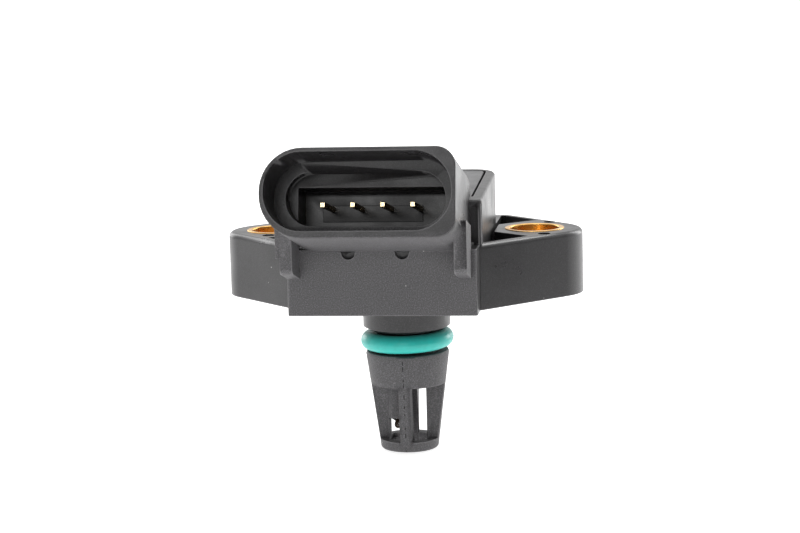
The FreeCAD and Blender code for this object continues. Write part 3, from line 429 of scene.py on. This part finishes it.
def eroded_faces(tree, y, z):
    """Mask of the faces that a spark-eroded mould leaves matt: the base's front with the socket's
    underside, the flange's underside, and the port below its ring."""
    front = combine(tree, "MULTIPLY", mask_along(tree, y, -18.9, -19.15), mask_along(tree, z, 13.0, 11.6))
    under = combine(tree, "MULTIPLY", mask_along(tree, z, 0.05, 0.01), mask_along(tree, z, -0.05, -0.01))
    return combine(tree, "MAXIMUM", front, under, mask_along(tree, z, -8.0, -8.2))


def painted_edge_highlight(tree, flow, reach):
    """Mask of the painted highlight along outer edges: a short look inwards meets the other face only close
    to an edge.
    """
    depth = add(tree, "ShaderNodeAmbientOcclusion", {"Distance": reach}, samples=8, inside=True,
                only_local=True).outputs["AO"]
    return combine(tree, "MULTIPLY", ramp_between(tree, depth, 0.85, 0.5),
                   ramp_between(tree, flow, 0.3, 0.6, 0.3, 1.0), 0.45)


def dust_spots(tree, where):
    """Mask of a few specks of dust: the middles of wide cells, where a slow noise lets them show."""
    cells = add(tree, "ShaderNodeTexVoronoi", {"Vector": where, "Scale": 1 / (2.3 * MM)})
    shows = ramp_between(tree, noise(tree, where, 4, 2.0), 0.5, 0.6)
    return combine(tree, "MULTIPLY", ramp_between(tree, cells.outputs["Distance"], 0.055, 0.025), shows, 0.8)


def port_seam(tree, where, x, z):
    """Broken mould seam down the front and back of the port, as a mask."""
    line = combine(tree, "COMPARE", x, 0.0)
    line.node.inputs[2].default_value = 0.07 * MM
    broken = ramp_between(tree, noise(tree, stretched(tree, where, 0.0, 0.0, 1.0), 0.8, 1.0), 0.5, 0.54)
    return combine(tree, "MULTIPLY", line, mask_along(tree, z, -8.6, -8.9), broken)


def moulded_rubber(name, colour):
    """Fluorocarbon rubber, pressed in a mould: satin, a little mottled, with a soft sheen."""
    material, tree, shader, where = new_finish(name)
    mottle = noise(tree, where, 0.9, 3.0)
    base = mix_colour(tree, ramp_between(tree, mottle, 0.35, 0.75, 0.0, 0.25), colour, linear("1E8E80"))
    give(tree, shader, {"Base Color": base, "Roughness": ramp_between(tree, mottle, 0.3, 0.7, 0.30, 0.42),
                        "Sheen Weight": 0.08})
    add_relief(tree, shader, noise(tree, where, 0.12, 2.0), 0.25, 0.01)
    return material


def turned_brass(name, colour):
    """Brass, turned on a lathe: bright, with fine rings from the tool round its axis."""
    material, tree, shader, where = new_finish(name)
    stain = noise(tree, stretched(tree, where, 1.0, 1.0, 0.15), 1.5, 1.0)
    base = mix_colour(tree, ramp_between(tree, stain, 0.4, 0.75, 0.0, 0.3), colour, linear("C98F45"))
    give(tree, shader, {"Base Color": base, "Metallic": 1.0,
                        "Roughness": ramp_between(tree, stain, 0.3, 0.7, 0.22, 0.36)})
    rings = noise(tree, stretched(tree, where, 0.0, 0.0, 1.0), 0.18, 2.0)
    add_relief(tree, shader, rings, 0.2, 0.006)
    return material


def plated_contact(name, colour):
    """Brass strip, stamped and plated: smooth along its faces, with faint lines from the rolls."""
    material, tree, shader, where = new_finish(name)
    lines = noise(tree, stretched(tree, where, 1.0, 0.1, 0.1), 0.08, 2.0)
    base = mix_colour(tree, ramp_between(tree, lines, 0.4, 0.7, 0.0, 0.3), colour, linear("D2A45A"))
    give(tree, shader, {"Base Color": base, "Metallic": 1.0,
                        "Roughness": ramp_between(tree, lines, 0.3, 0.7, 0.18, 0.3)})
    add_relief(tree, shader, lines, 0.2, 0.005)
    return material


def plain_finish(name, hex_colour, second_hex, patch, metallic=0.0, roughness=0.5, coat=0.0):
    """Finish of an inner piece: two close colours in patches of one size, with a light relief."""
    material, tree, shader, where = new_finish(name)
    patches = noise(tree, where, patch, 3.0)
    base = mix_colour(tree, ramp_between(tree, patches, 0.35, 0.65), linear(hex_colour), linear(second_hex))
    rough = ramp_between(tree, patches, 0.3, 0.7, roughness - 0.05, roughness + 0.05)
    give(tree, shader, {"Base Color": base, "Roughness": rough, "Metallic": metallic, "Coat Weight": coat})
    add_relief(tree, shader, patches, 0.3, 0.01)
    return material


def paper_floor(name, colour, light):
    """Matt paper on a light table, seen by the camera, by gloss and through glass as a white ground."""
    material, tree, shader, where = new_finish(name)
    fibres = ramp_between(tree, noise(tree, where, 1000 / 60, 2.0), 0.3, 0.7, 0.0, 0.1)
    glow = ramp_between(tree, white_ground_rays(tree), 0.0, 1.0, light, 0.75)
    give(tree, shader, {"Base Color": mix_colour(tree, fibres, colour, linear("EFEFEF")), "Roughness": 0.9,
                        "Specular IOR Level": 0.0, "Emission Color": (1.0, 1.0, 1.0, 1.0),
                        "Emission Strength": glow})
    return material


def white_ground_rays(tree):
    """1 for rays that show the white ground: camera, glossy and transmission rays."""
    rays = add(tree, "ShaderNodeLightPath").outputs
    kinds = ("Camera", "Glossy", "Transmission")
    return combine(tree, "MAXIMUM", *(rays[f"Is {kind} Ray"] for kind in kinds))


# Pieces


class SENSOR_OT_housing(bpy.types.Operator):
    """Housing: the moulding's surface with the final form of its plug socket, gussets and port"""

    bl_idname = "sensor.housing"
    bl_label = "Housing"

    # Boxes that clear the place of the solids' own socket: two places on each axis
    cleared = (((-16, 13), (-40, -19.2), (3, 30)),
               ((-16, 13), (-20.2, -15.3), (8.75, 30)),
               ((-16, -13.1), (-20.2, -18.0), (4, 9)),
               ((-16, -12.3), (-15.4, -12.0), (8.75, 30)))

    # Outline of the same above the block's deck, which its first two points lie on, in Y and Z
    above_deck = ((-15.3, 14.642), (-12.2, 14.838), (-12.2, 30), (-15.3, 30))

    # Faces that the socket stands on: the base's front and the lid's recess
    base_front, recess_front = -19.2, -13.3

    # Shell: its length, and the rounding of its mouth
    shell_length, mouth_edge = 17.3, 0.12

    # Gussets and the step on the left one: left and right side, and the rounding of the lower front.
    # Then the places of the notches.
    gussets = ((-13.0, -11.35, 0.9), (9.55, 11.2, 0.9))
    step = (-13.5, -12.9, 0.05)
    notch_places = (-4.9, 2.2)

    # Tablet that stands up from the well's floor under the terminals: left, right, low, high, and height
    tablet_sides, tablet_height = (-6.8, 6.4, -2.6, -0.5), 0.12

    # How far the tools reach beyond the faces that they meet
    hollow_lap, pit_lap, notch_lap, tablet_lap = 1.5, 1, 1, 0.3
    gusset_back_lap, gusset_top_lap = 0.5, 3.0

    # Port: depths under the flange in the solids and here, radii at the fourth and the last of them,
    # the bore's radius, and half the width of the ribs
    solid_levels = (0, 3.45, 4.65, 8.39, 13.25, 20.25, 22.15)
    port_levels = (0, 3.65, 4.65, 8.25, 12.85, 20.7, 22.15)
    solid_radii, port_radii = (5.65, 3.9), (5.95, 4.0)
    solid_bore, port_bore = 2.33, 2.8
    solid_rib, port_rib = 0.95, 0.825

    # Depth where the new radii start, then the ribs' flanks: their depths, least radius and tolerance
    radii_start, flank_depths, flank_radius, flank_tolerance = 8.3, (13.0, 20.4), 2.3, 0.02

    def execute(self, context):
        shape, finish = context.scene.sensor_shape, context.scene.sensor_finish
        plastic = moulded_polyester("Moulded Glass-Filled Polyester", finish.plastic, finish, seams=True)
        mesh = self.merged_solid()
        for operation, solids in self.steps(context.scene.sensor_socket):
            for solid in solids:
                mesh = carved(mesh, *solid, operation)
        places = np.empty(len(mesh.vertices) * 3, np.float32)
        mesh.vertices.foreach_get("co", places)
        places = self.port_form(places.reshape(-1, 3) / MM) * MM
        mesh.vertices.foreach_set("co", places.astype(np.float32).ravel())
        mesh.name = "housing_skin"
        mesh.polygons.foreach_set("use_smooth", np.ones(len(mesh.polygons), bool))
        mesh.set_sharp_from_angle(angle=shape.seam_angle)
        skin = new_object("housing_skin", mesh)
        even = skin.modifiers.new("Even Shading", "WEIGHTED_NORMAL")
        even.keep_sharp, even.weight = True, 90
        dress(skin, plastic)
        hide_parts("housing")
        return {"FINISHED"}

    def merged_solid(self):
        """Copy of the solid with its loose triangles merged, and joined where they are flat."""
        work = bmesh.new()
        work.from_mesh(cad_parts["housing"].data)
        bmesh.ops.remove_doubles(work, verts=work.verts, dist=0.0005 * MM)
        bmesh.ops.dissolve_limit(work, angle_limit=math.radians(0.2), verts=work.verts, edges=work.edges)
        mesh = bpy.data.meshes.new("housing_solid")
        work.to_mesh(mesh)
        work.free()
        return mesh

    def port_form(self, points):
        """Final form of the port from the solids' points: depths under the flange are carried from level
        to level, radii grow from the bore's to the wall's, and the ribs' flanks are set to their width."""
        x, y, z = np.asarray(points, float).T
        level = np.interp(-z, self.solid_levels, self.port_levels)
        radius = np.hypot(x, y)
        wall = np.interp(-z, self.solid_levels[3::3], self.solid_radii)
        wall_after = np.interp(level, self.port_levels[3::3], self.port_radii)
        in_bore = radius * self.port_bore / self.solid_bore
        share = (radius - self.solid_bore) / (wall - self.solid_bore)
        in_wall = self.port_bore + share * (wall_after - self.port_bore)
        scale = np.where(radius < self.solid_bore, in_bore, in_wall) / np.maximum(radius, 1e-6)
        scale = np.where(-z > self.radii_start, scale, 1.0)
        top, end = self.flank_depths
        in_zone = (radius > self.flank_radius) & (-z > top) & (-z < end)
        after = []
        for side in (x, y):
            on_flank = in_zone & (np.abs(np.abs(side) - self.solid_rib) < self.flank_tolerance)
            after.append(np.where(on_flank, np.sign(side) * self.port_rib, side * scale))
        return np.stack([*after, np.where(z < 0, -level, z)], axis=-1)

    def steps(self, sizes):
        """Operations in their order, each with its solids: room and notches, then shell and gussets,
        the stepped hollow of the socket, and the tablet on its floor."""
        tilts = {name: getattr(sizes, name) for name in ("shell_tilt", "inner_tilt")}
        lengths = {name: getattr(sizes, name) / MM for name in sizes.bl_rna.properties.keys()
                   if name not in {"rna_type", "name", *tilts}}
        size = SimpleNamespace(**tilts, **lengths)
        rise = size.gusset_reach * math.tan(size.shell_tilt)
        gussets = [self.gusset(size, *sides, size.gusset_foot, rise) for sides in self.gussets]
        step = self.gusset(size, *self.step, size.gusset_step, 0.0)
        return (("DIFFERENCE", self.clearings() + self.notches(size)),
                ("UNION", [self.shell(size), *gussets, step]),
                ("DIFFERENCE", self.hollows(size)),
                ("UNION", [self.tablet(size)]))

    def clearings(self):
        """Solids that clear the place of the socket in front of, beside and above the block."""
        boxes = [self.upright(rounded_rectangle(*y, *z), *x) for x, y, z in self.cleared]
        return boxes + [self.upright(np.array(self.above_deck), *self.cleared[0][0])]

    def shell(self, size):
        """Shell from its mouth with a small edge to the lid's recess, whose plane its end is slid to."""
        wide, high = size.half_width, size.half_height
        sections = []
        for depth, inset in ((0, self.mouth_edge), (self.mouth_edge, 0), (self.shell_length, 0)):
            left, right = size.left_round - inset, size.right_round - inset
            outline = rounded_rectangle(inset - wide, wide - inset, inset - high, high - inset,
                                        (left, right, right, left))
            sections.append(self.place(size, size.shell_tilt, depth, outline))
        end = sections[-1]
        end[:, 2] += (end[:, 1] - self.recess_front) * math.tan(size.shell_tilt)
        end[:, 1] = self.recess_front
        return closed_tube(sections)

    def hollows(self, size):
        """Bay behind the mouth, well behind its step, and the pit under the shelf."""
        wide, high, middle = size.bay_half_width, size.bay_half_height, size.bay_rise
        right, floor = size.well_half_width, -size.well_floor
        bay = rounded_rectangle(-wide, wide, middle - high, middle + high, (size.bay_round,) * 4)
        well = rounded_rectangle(-right, right, floor, size.well_roof, (size.well_round,) * 4)
        pit = rounded_rectangle(-size.pit_left, right, floor, size.shelf_level, (0, size.well_round, 0, 0))
        spans = ((bay, size.shell_tilt, -self.hollow_lap, size.bay_depth),
                 (well, size.inner_tilt, size.bay_depth - self.hollow_lap, size.shelf_depth),
                 (pit, size.inner_tilt, size.shelf_depth - self.pit_lap, size.well_depth))
        return [closed_tube([self.place(size, tilt, depth, outline) for depth in depths])
                for outline, tilt, *depths in spans]

    def tablet(self, size):
        """Low tablet on the well's floor."""
        outline = rounded_rectangle(*self.tablet_sides)
        return closed_tube([self.place(size, size.inner_tilt, size.well_depth + depth, outline)
                            for depth in (-self.tablet_height, self.tablet_lap)])

    def notches(self, size):
        """Round notches in the base's front."""
        radius = size.notch_radius
        circle = rounded_rectangle(-radius, radius, -radius, radius, (radius,) * 4)
        depths = (self.base_front - self.notch_lap, self.base_front + size.notch_depth)
        return [closed_tube([np.insert(circle + [x, size.notch_level], 1, y, axis=1) for y in depths])
                for x in self.notch_places]

    def place(self, size, tilt, depth, outline):
        """Outline in a plane along the mouth, a depth behind it on an axis of the given tilt."""
        across, up = outline.T
        y = -size.reach + depth * math.cos(tilt) + up * math.sin(size.inner_tilt)
        z = size.level - depth * math.sin(tilt) + up * math.cos(size.inner_tilt)
        return np.stack([across - size.offset, y, z], axis=-1)

    def gusset(self, size, left, right, corner, foot, rise):
        """Upright rib under the shell: straight front edge, and a lower end that may rise to the front."""
        front, back = self.base_front - size.gusset_reach, self.base_front + self.gusset_back_lap
        in_shell = size.level - size.half_height + self.gusset_top_lap
        roof = [in_shell - (y + size.reach) * math.tan(size.shell_tilt) for y in (front, self.base_front)]
        corners = np.array([[back, foot], [self.base_front, foot], [front, foot + rise],
                            [front, roof[0]], [back, roof[1]]])
        outline = np.concatenate([corners[:1], rounded_path(corners[1:4], corner), corners[4:]])
        return self.upright(outline, left, right)

    def upright(self, outline, left, right):
        """Solid between two places in X from an outline in the YZ plane."""
        return closed_tube([np.insert(outline, 0, x, axis=1) for x in (left, right)])


class SENSOR_OT_seal_ring(bpy.types.Operator):
    """Seal ring: a ring of round section with the fine seam of its mould"""

    bl_idname = "sensor.seal_ring"
    bl_label = "Seal Ring"

    steps_around, steps_section = 180, 48
    seam_width, seam_waves = 0.07, 7

    def execute(self, context):
        shape, finish = context.scene.sensor_shape, context.scene.sensor_finish
        points = self.surface(shape.ring_radius / MM, shape.ring_section / 2 / MM, shape.ring_flash / MM)
        rise, run = math.sin(shape.ring_lean), math.cos(shape.ring_lean)
        lean = np.array([[run, 0, -rise], [0, 1, 0], [rise, 0, run]])
        points = points @ lean.T - [0, 0, shape.ring_level / MM]
        rubber = moulded_rubber("Moulded Fluorocarbon Rubber", finish.rubber)
        faces = grid_faces(self.steps_around, self.steps_section, True, True)
        ring = new_piece("seal_ring", points, [faces], rubber)
        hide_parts("port_seal_ring")
        return {"FINISHED"}

    def surface(self, radius, tube, flash):
        """Ring: a circle of radius tube, raised by a narrow bell of height flash at its outermost and
        innermost points, which swells and fades round the ring, carried round the given radius."""
        around = np.linspace(0, FULL_TURN, self.steps_around, endpoint=False)[:, None]
        section = np.linspace(0, FULL_TURN, self.steps_section, endpoint=False)[None, :]
        seam = np.exp(-(np.sin(section) / self.seam_width) ** 2)
        thickness = tube - flash + flash * seam * (0.6 + 0.4 * np.sin(self.seam_waves * around))
        reach = radius + thickness * np.cos(section)
        height = thickness * np.sin(section) + 0 * around
        return np.stack([reach * np.cos(around), reach * np.sin(around), height], axis=-1).reshape(-1, 3)


class SENSOR_OT_sleeves(bpy.types.Operator):
    """Mounting sleeves: turned tubes with rounded ends"""

    bl_idname = "sensor.sleeves"
    bl_label = "Mounting Sleeves"

    segments = 96

    def execute(self, context):
        shape, finish = context.scene.sensor_shape, context.scene.sensor_finish
        brass = turned_brass("Turned Brass", finish.brass)
        inner = shape.sleeve_bore / 2 / MM
        outer = inner + shape.sleeve_wall / MM
        top, edge = shape.sleeve_height / MM, shape.sleeve_round / MM
        profile = np.concatenate([
            rounded_corner((outer - edge / 2, edge / 2), edge / 2, -90, 0),
            rounded_corner((outer - edge / 2, top - edge / 2), edge / 2, 0, 90),
            rounded_corner((inner + edge, top - edge), edge, 90, 180),
            rounded_corner((inner + edge, edge), edge, 180, 270)])
        faces = grid_faces(self.segments, len(profile), True, True)
        for side, name in ((-1, "left"), (1, "right")):
            points = turned_surface(profile, self.segments) + [side * shape.hole_spacing / 2 / MM, 0, 0]
            sleeve = new_piece(f"sleeve_{name}", points, [faces], brass)
            sleeve.data.set_sharp_from_angle(angle=math.radians(50))
            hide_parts(f"mounting_sleeve_{name}")
        return {"FINISHED"}


class SENSOR_OT_terminals(bpy.types.Operator):
    """Terminals: square pins with coined edges and a blunt tip, bent down to the board"""

    bl_idname = "sensor.terminals"
    bl_label = "Terminals"

    # Tips: depth behind the mouth, drop under the socket's axis, shift to the right of it, then the
    # length of the taper and the share of the width that it leaves
    tip_depth, row_drop, row_shift = 7.0, 0.98, 0.33
    tip_taper, tip_share = 0.1, 0.86

    # Leg: its place behind the block's front, the board's upper face, the foot's end and the inner bend
    leg_place, board_level, foot_end, bend_radius = -11.7, 9.4, -9.3, 0.25

    def execute(self, context):
        shape, socket = context.scene.sensor_shape, context.scene.sensor_socket
        plated = plated_contact("Stamped Plated Brass", context.scene.sensor_finish.contact)
        width = shape.terminal_width / MM
        path = self.path(socket.reach / MM, socket.level / MM, socket.inner_tilt, width)
        widths = np.ones(len(path))
        widths[0] = self.tip_share
        side = width / 2
        section = rounded_rectangle(-side, side, -side, side, (shape.terminal_edge / MM,) * 4, 4)
        count = len(section)
        surface = swept_surface(path, widths, section)
        points = np.concatenate([surface, [[0, *path[0]], [0, *path[-1]]]])
        faces = [grid_faces(len(path), count, False, True),
                 cap_faces(np.arange(count)[::-1], len(surface)),
                 cap_faces(np.arange(len(surface) - count, len(surface)), len(surface) + 1)]
        for index in range(shape.terminal_count):
            place = index - (shape.terminal_count - 1) / 2
            x = self.row_shift - socket.offset / MM + place * shape.terminal_pitch / MM
            pin = new_piece(f"contact_pin_{index + 1}", points + [x, 0, 0], faces, plated)
            pin.data.set_sharp_from_angle(angle=math.radians(40))
            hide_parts(f"terminal_{index + 1}")
        return {"FINISHED"}

    def path(self, reach, level, tilt, width):
        """Middle line of a terminal: from its tip down the socket, down the leg and along the board."""
        run, rise = math.cos(tilt), math.sin(tilt)
        tip = np.array([self.tip_depth * run - self.row_drop * rise - reach,
                        level - self.tip_depth * rise - self.row_drop * run])
        foot = self.board_level + width / 2
        bend = tip[1] - (self.leg_place - tip[0]) * math.tan(tilt)
        corners = np.array([tip, [self.leg_place, bend], [self.leg_place, foot], [self.foot_end, foot]])
        path = rounded_path(corners, self.bend_radius + width / 2)
        taper_end = tip + np.array([run, -rise]) * self.tip_taper
        return np.concatenate([path[:1], [taper_end], path[1:]])


class SENSOR_OT_probe(bpy.types.Operator):
    """Air temperature probe: a dipped bead with a drawn-out neck, on two wire leads"""

    bl_idname = "sensor.probe"
    bl_label = "Temperature Probe"

    # The probe stands further left than in the solids, in the middle of its guard tube
    shift = -0.24
    neck_radius, lead_edge = 0.36, 0.04
    bead_segments, bead_rings, lead_segments = 40, 26, 24

    def execute(self, context):
        resin = plain_finish("Dipped Epoxy Resin", "3A2C20", "241A12", 0.5, roughness=0.22, coat=0.6)
        tinned = plain_finish("Tinned Drawn Wire", "B9B7B0", "9E9C96", 0.3, metallic=1.0, roughness=0.32)
        low, high = (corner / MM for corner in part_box("probe_bead"))
        profile = self.bead_profile(context.scene.sensor_shape.bead_radius / MM, low.z, high.z)
        points, faces = turned_solid(profile, self.bead_segments, low.z, high.z)
        bead = new_piece("bead", points + [self.middle(low, high), 0, 0], faces, resin)
        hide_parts("probe_bead")
        for side in ("left", "right"):
            self.lead(side, tinned)
        return {"FINISHED"}

    def middle(self, low, high):
        """Place in X of a piece of the probe from its box in the solids."""
        return (low.x + high.x) / 2 + self.shift

    def bead_profile(self, radius, low, high):
        """Drop: the radius swells as a sine over the share of the height and narrows by a quarter
        upwards, and the neck's radius comes in with the sixth power of that share."""
        share = np.linspace(0, 1, self.bead_rings)
        swell = radius * np.sin(math.pi * share ** 0.9) * (1 - 0.25 * share)
        rise = (high - low) * (1 - np.cos(math.pi * share)) / 2
        return np.stack([swell + self.neck_radius * share ** 6, low + rise], axis=-1)[1:]

    def lead(self, side, tinned):
        """Round wire with a cut, slightly rounded upper end."""
        low, high = (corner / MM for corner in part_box(f"probe_lead_{side}"))
        radius, edge = (high.x - low.x) / 2, self.lead_edge
        top = rounded_corner((radius - edge, high.z - edge), edge, 0, 90)
        profile = np.concatenate([[[radius, low.z]], top])
        points, faces = turned_solid(profile, self.lead_segments, low.z, high.z)
        wire = new_piece(f"lead_{side}", points + [self.middle(low, high), 0, 0], faces, tinned)
        wire.data.set_sharp_from_angle(angle=math.radians(60))
        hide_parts(f"probe_lead_{side}")


class SENSOR_OT_inner_pieces(bpy.types.Operator):
    """Lid, board, chips and glue: the solids with their own finishes"""

    bl_idname = "sensor.inner_pieces"
    bl_label = "Lid and Inner Pieces"

    # Finish, two colours, size of their patches, metal, roughness and coat, then the solids that have it
    finishes = (
        ("Cured Silicone Glue", "77736D", "66625C", 1.2, 0.0, 0.45, 0.0, ("lid_adhesive", "board_adhesive")),
        ("Sintered Alumina", "E6E2D8", "D8D2C4", 0.4, 0.0, 0.6, 0.0, ("circuit_board",)),
        ("Sawn Borosilicate Glass", "C9D6D0", "B7C6C0", 0.3, 0.0, 0.35, 0.0, ("glass_pedestal",)),
        ("Polished Silicon", "5A5C66", "4A4C55", 1.0, 0.6, 0.15, 0.0, ("pressure_chip", "signal_chip")),
        ("Moulded Dam Resin", "2B2B2D", "222224", 0.6, 0.0, 0.4, 0.0, ("gel_dam",)),
        ("Poured Silicone Gel", "DDE2DC", "CBD3CC", 2.0, 0.0, 0.08, 0.5, ("protective_gel",)),
        ("Drawn Aluminium Ribbon", "C9CBCE", "B4B6BA", 0.1, 1.0, 0.3, 0.0, ("bond_wires",)),
        ("Reflowed Solder", "B4B2AC", "9A9892", 0.2, 1.0, 0.28, 0.0, ("lead_solder",)),
        ("Fired Capacitor Ceramic", "8C6A45", "7B5B39", 0.3, 0.0, 0.45, 0.0, ("chip_capacitors",)))

    def execute(self, context):
        finish = context.scene.sensor_finish
        lid = moulded_polyester("Moulded Polyester Lid", finish.lid, finish, seams=False)
        self.give_finish(lid, "cover_lid")
        for *look, pieces in self.finishes:
            material = plain_finish(*look)
            for name in pieces:
                self.give_finish(material, name)
        return {"FINISHED"}

    def give_finish(self, material, name):
        """Finish on every face of a solid."""
        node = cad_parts[name]
        if not node.material_slots:
            node.data.materials.append(material)
        for place in node.material_slots:
            place.material = material


class SENSOR_OT_studio(bpy.types.Operator):
    """Studio: paper floor, soft lamps, even room light and the camera"""

    bl_idname = "sensor.studio"
    bl_label = "Studio"

    # Camera place and directions, from the photograph's perspective
    camera_place = (40.823, -298.633, 51.531)
    camera_right = (0.99067, 0.13372, -0.02653)
    camera_up = (0.00489, 0.15965, 0.98716)
    camera_back = (0.13617, -0.97808, 0.15751)

    # Lamps: place, width and height in metres, then the property with the power and the share of it
    lamps = {"front_lamp": ((-0.10, -0.74, 0.27), 0.34, 0.06, "key", 1.0),
             "top_lamp": ((0.05, 0.05, 0.60), 0.5, 0.5, "top", 1.0),
             "left_lamp": ((-0.40, 0.45, 0.22), 0.25, 0.5, "sides", 0.7),
             "right_lamp": ((0.40, 0.45, 0.22), 0.25, 0.5, "sides", 1.2)}

    # Dark cards out of the camera's sight: start and end on the floor, and height, in millimetres, then
    # the level of their foot and the points along a side
    cards = {"room_card": ((-1100, -900), (1100, -900), 900),
             "right_card": ((150, -200), (120, -12), 60)}
    card_foot, card_points = -20, 4

    # Floor: half its side, points along a side, and its gap under the port's end, in millimetres
    floor_reach, floor_points, floor_gap = 3000, 13, 0.05

    def execute(self, context):
        studio = context.scene.sensor_studio
        self.add_floor(studio)
        self.add_room(context, studio)
        for name, (place, width, height, power, share) in self.lamps.items():
            self.add_lamp(name, Vector(place), width, height, share * getattr(studio, power))
        for name, card in self.cards.items():
            self.add_card(name, *card)
        self.add_camera(context, studio)
        context.scene.view_settings.view_transform = "Standard"
        return {"FINISHED"}

    def add_sheet(self, name, x, y, z, faces, finish):
        """Piece of the stage from a grid of points in millimetres."""
        points = np.stack(np.broadcast_arrays(x, y, z), axis=-1).reshape(-1, 3)
        sheet = new_object(name, new_mesh(name, points, faces.tolist()))
        sheet.data.materials.append(finish)
        return sheet

    def add_floor(self, studio):
        """Flat square sheet of paper just under the port's end."""
        steps = np.linspace(-self.floor_reach, self.floor_reach, self.floor_points)
        x, y = np.meshgrid(steps, steps, indexing="ij")
        paper = paper_floor("White Paper", studio.floor, studio.table)
        faces = grid_faces(self.floor_points, self.floor_points)[:, ::-1]
        floor = self.add_sheet("floor", x, y, CAD_BOX[0].z / MM - self.floor_gap, faces, paper)

    def add_room(self, context, studio):
        """Even light from all round, seen as a white ground by camera and gloss."""
        world = context.scene.world or bpy.data.worlds.new("Room")
        context.scene.world = world
        world.use_nodes = True
        tree = world.node_tree
        tree.nodes.clear()
        strength = ramp_between(tree, white_ground_rays(tree), 0.0, 1.0, studio.ambient, 1.0)
        room = add(tree, "ShaderNodeBackground", {"Color": (1.0, 1.0, 1.0, 1.0), "Strength": strength})
        add(tree, "ShaderNodeOutputWorld", {"Surface": room.outputs[0]})

    def add_card(self, name, start, end, top):
        """Upright dark card between two places on the floor."""
        count = self.card_points
        heights = np.linspace(self.card_foot, top, count)
        share, z = np.meshgrid(np.linspace(0, 1, count), heights, indexing="ij")
        x, y = ((1 - share) * first + share * last for first, last in zip(start, end))
        felt = plain_finish("Black Felt", "0A0A0A", "0E0E0E", 20.0, roughness=0.9)
        card = self.add_sheet(name, x, y, z, grid_faces(count, count), felt)
        card.visible_camera = False

    def add_lamp(self, name, place, width, height, power):
        """Soft rectangular lamp that faces the sensor."""
        lamp = bpy.data.lights.new(name, "AREA")
        lamp.shape = "RECTANGLE"
        lamp.size, lamp.size_y, lamp.energy = width, height, power
        holder = new_object(name, lamp)
        holder.location = place
        holder.rotation_euler = (-place).to_track_quat("-Z", "Y").to_euler()

    def add_camera(self, context, studio):
        """Camera with the photograph's place, direction and lens."""
        camera = bpy.data.cameras.new("camera")
        camera.sensor_width = 36.0
        camera.lens = studio.lens
        camera.clip_start, camera.clip_end = 0.01, 20.0
        holder = new_object("camera", camera)
        turn = Matrix((self.camera_right, self.camera_up, self.camera_back)).transposed()
        holder.matrix_world = Matrix.Translation(Vector(self.camera_place) * MM) @ turn.to_4x4()
        context.scene.camera = holder


class SENSOR_PT_panel(bpy.types.Panel):
    """Sidebar panel with the sensor's sizes, colours and steps"""

    bl_idname = "SENSOR_PT_panel"
    bl_label = "Manifold Pressure Sensor"
    bl_space_type = "VIEW_3D"
    bl_region_type = "UI"
    bl_category = "Sensor"

    def draw(self, context):
        for group in (getattr(context.scene, name) for name in GROUPS):
            box = self.layout.box()
            for name in group.bl_rna.properties.keys():
                if name not in {"rna_type", "name"}:
                    box.prop(group, name)
        for operator in STEPS:
            self.layout.operator(operator.bl_idname)


GROUPS = {"sensor_shape": SensorShape, "sensor_socket": SensorSocket, "sensor_finish": SensorFinish,
          "sensor_studio": SensorStudio}
STEPS = (SENSOR_OT_housing, SENSOR_OT_seal_ring, SENSOR_OT_sleeves, SENSOR_OT_terminals,
         SENSOR_OT_probe, SENSOR_OT_inner_pieces, SENSOR_OT_studio)


def register():
    for name, group in GROUPS.items():
        bpy.utils.register_class(group)
        setattr(bpy.types.Scene, name, PointerProperty(type=group))
    for kind in (*STEPS, SENSOR_PT_panel):
        bpy.utils.register_class(kind)


def unregister():
    for kind in reversed((*STEPS, SENSOR_PT_panel)):
        bpy.utils.unregister_class(kind)
    for name, group in reversed(GROUPS.items()):
        delattr(bpy.types.Scene, name)
        bpy.utils.unregister_class(group)


def main():
    register()
    bpy.ops.sensor.housing()
    bpy.ops.sensor.seal_ring()
    bpy.ops.sensor.sleeves()
    bpy.ops.sensor.terminals()
    bpy.ops.sensor.probe()
    bpy.ops.sensor.inner_pieces()
    bpy.ops.sensor.studio()


if __name__ == "__main__":
    main()
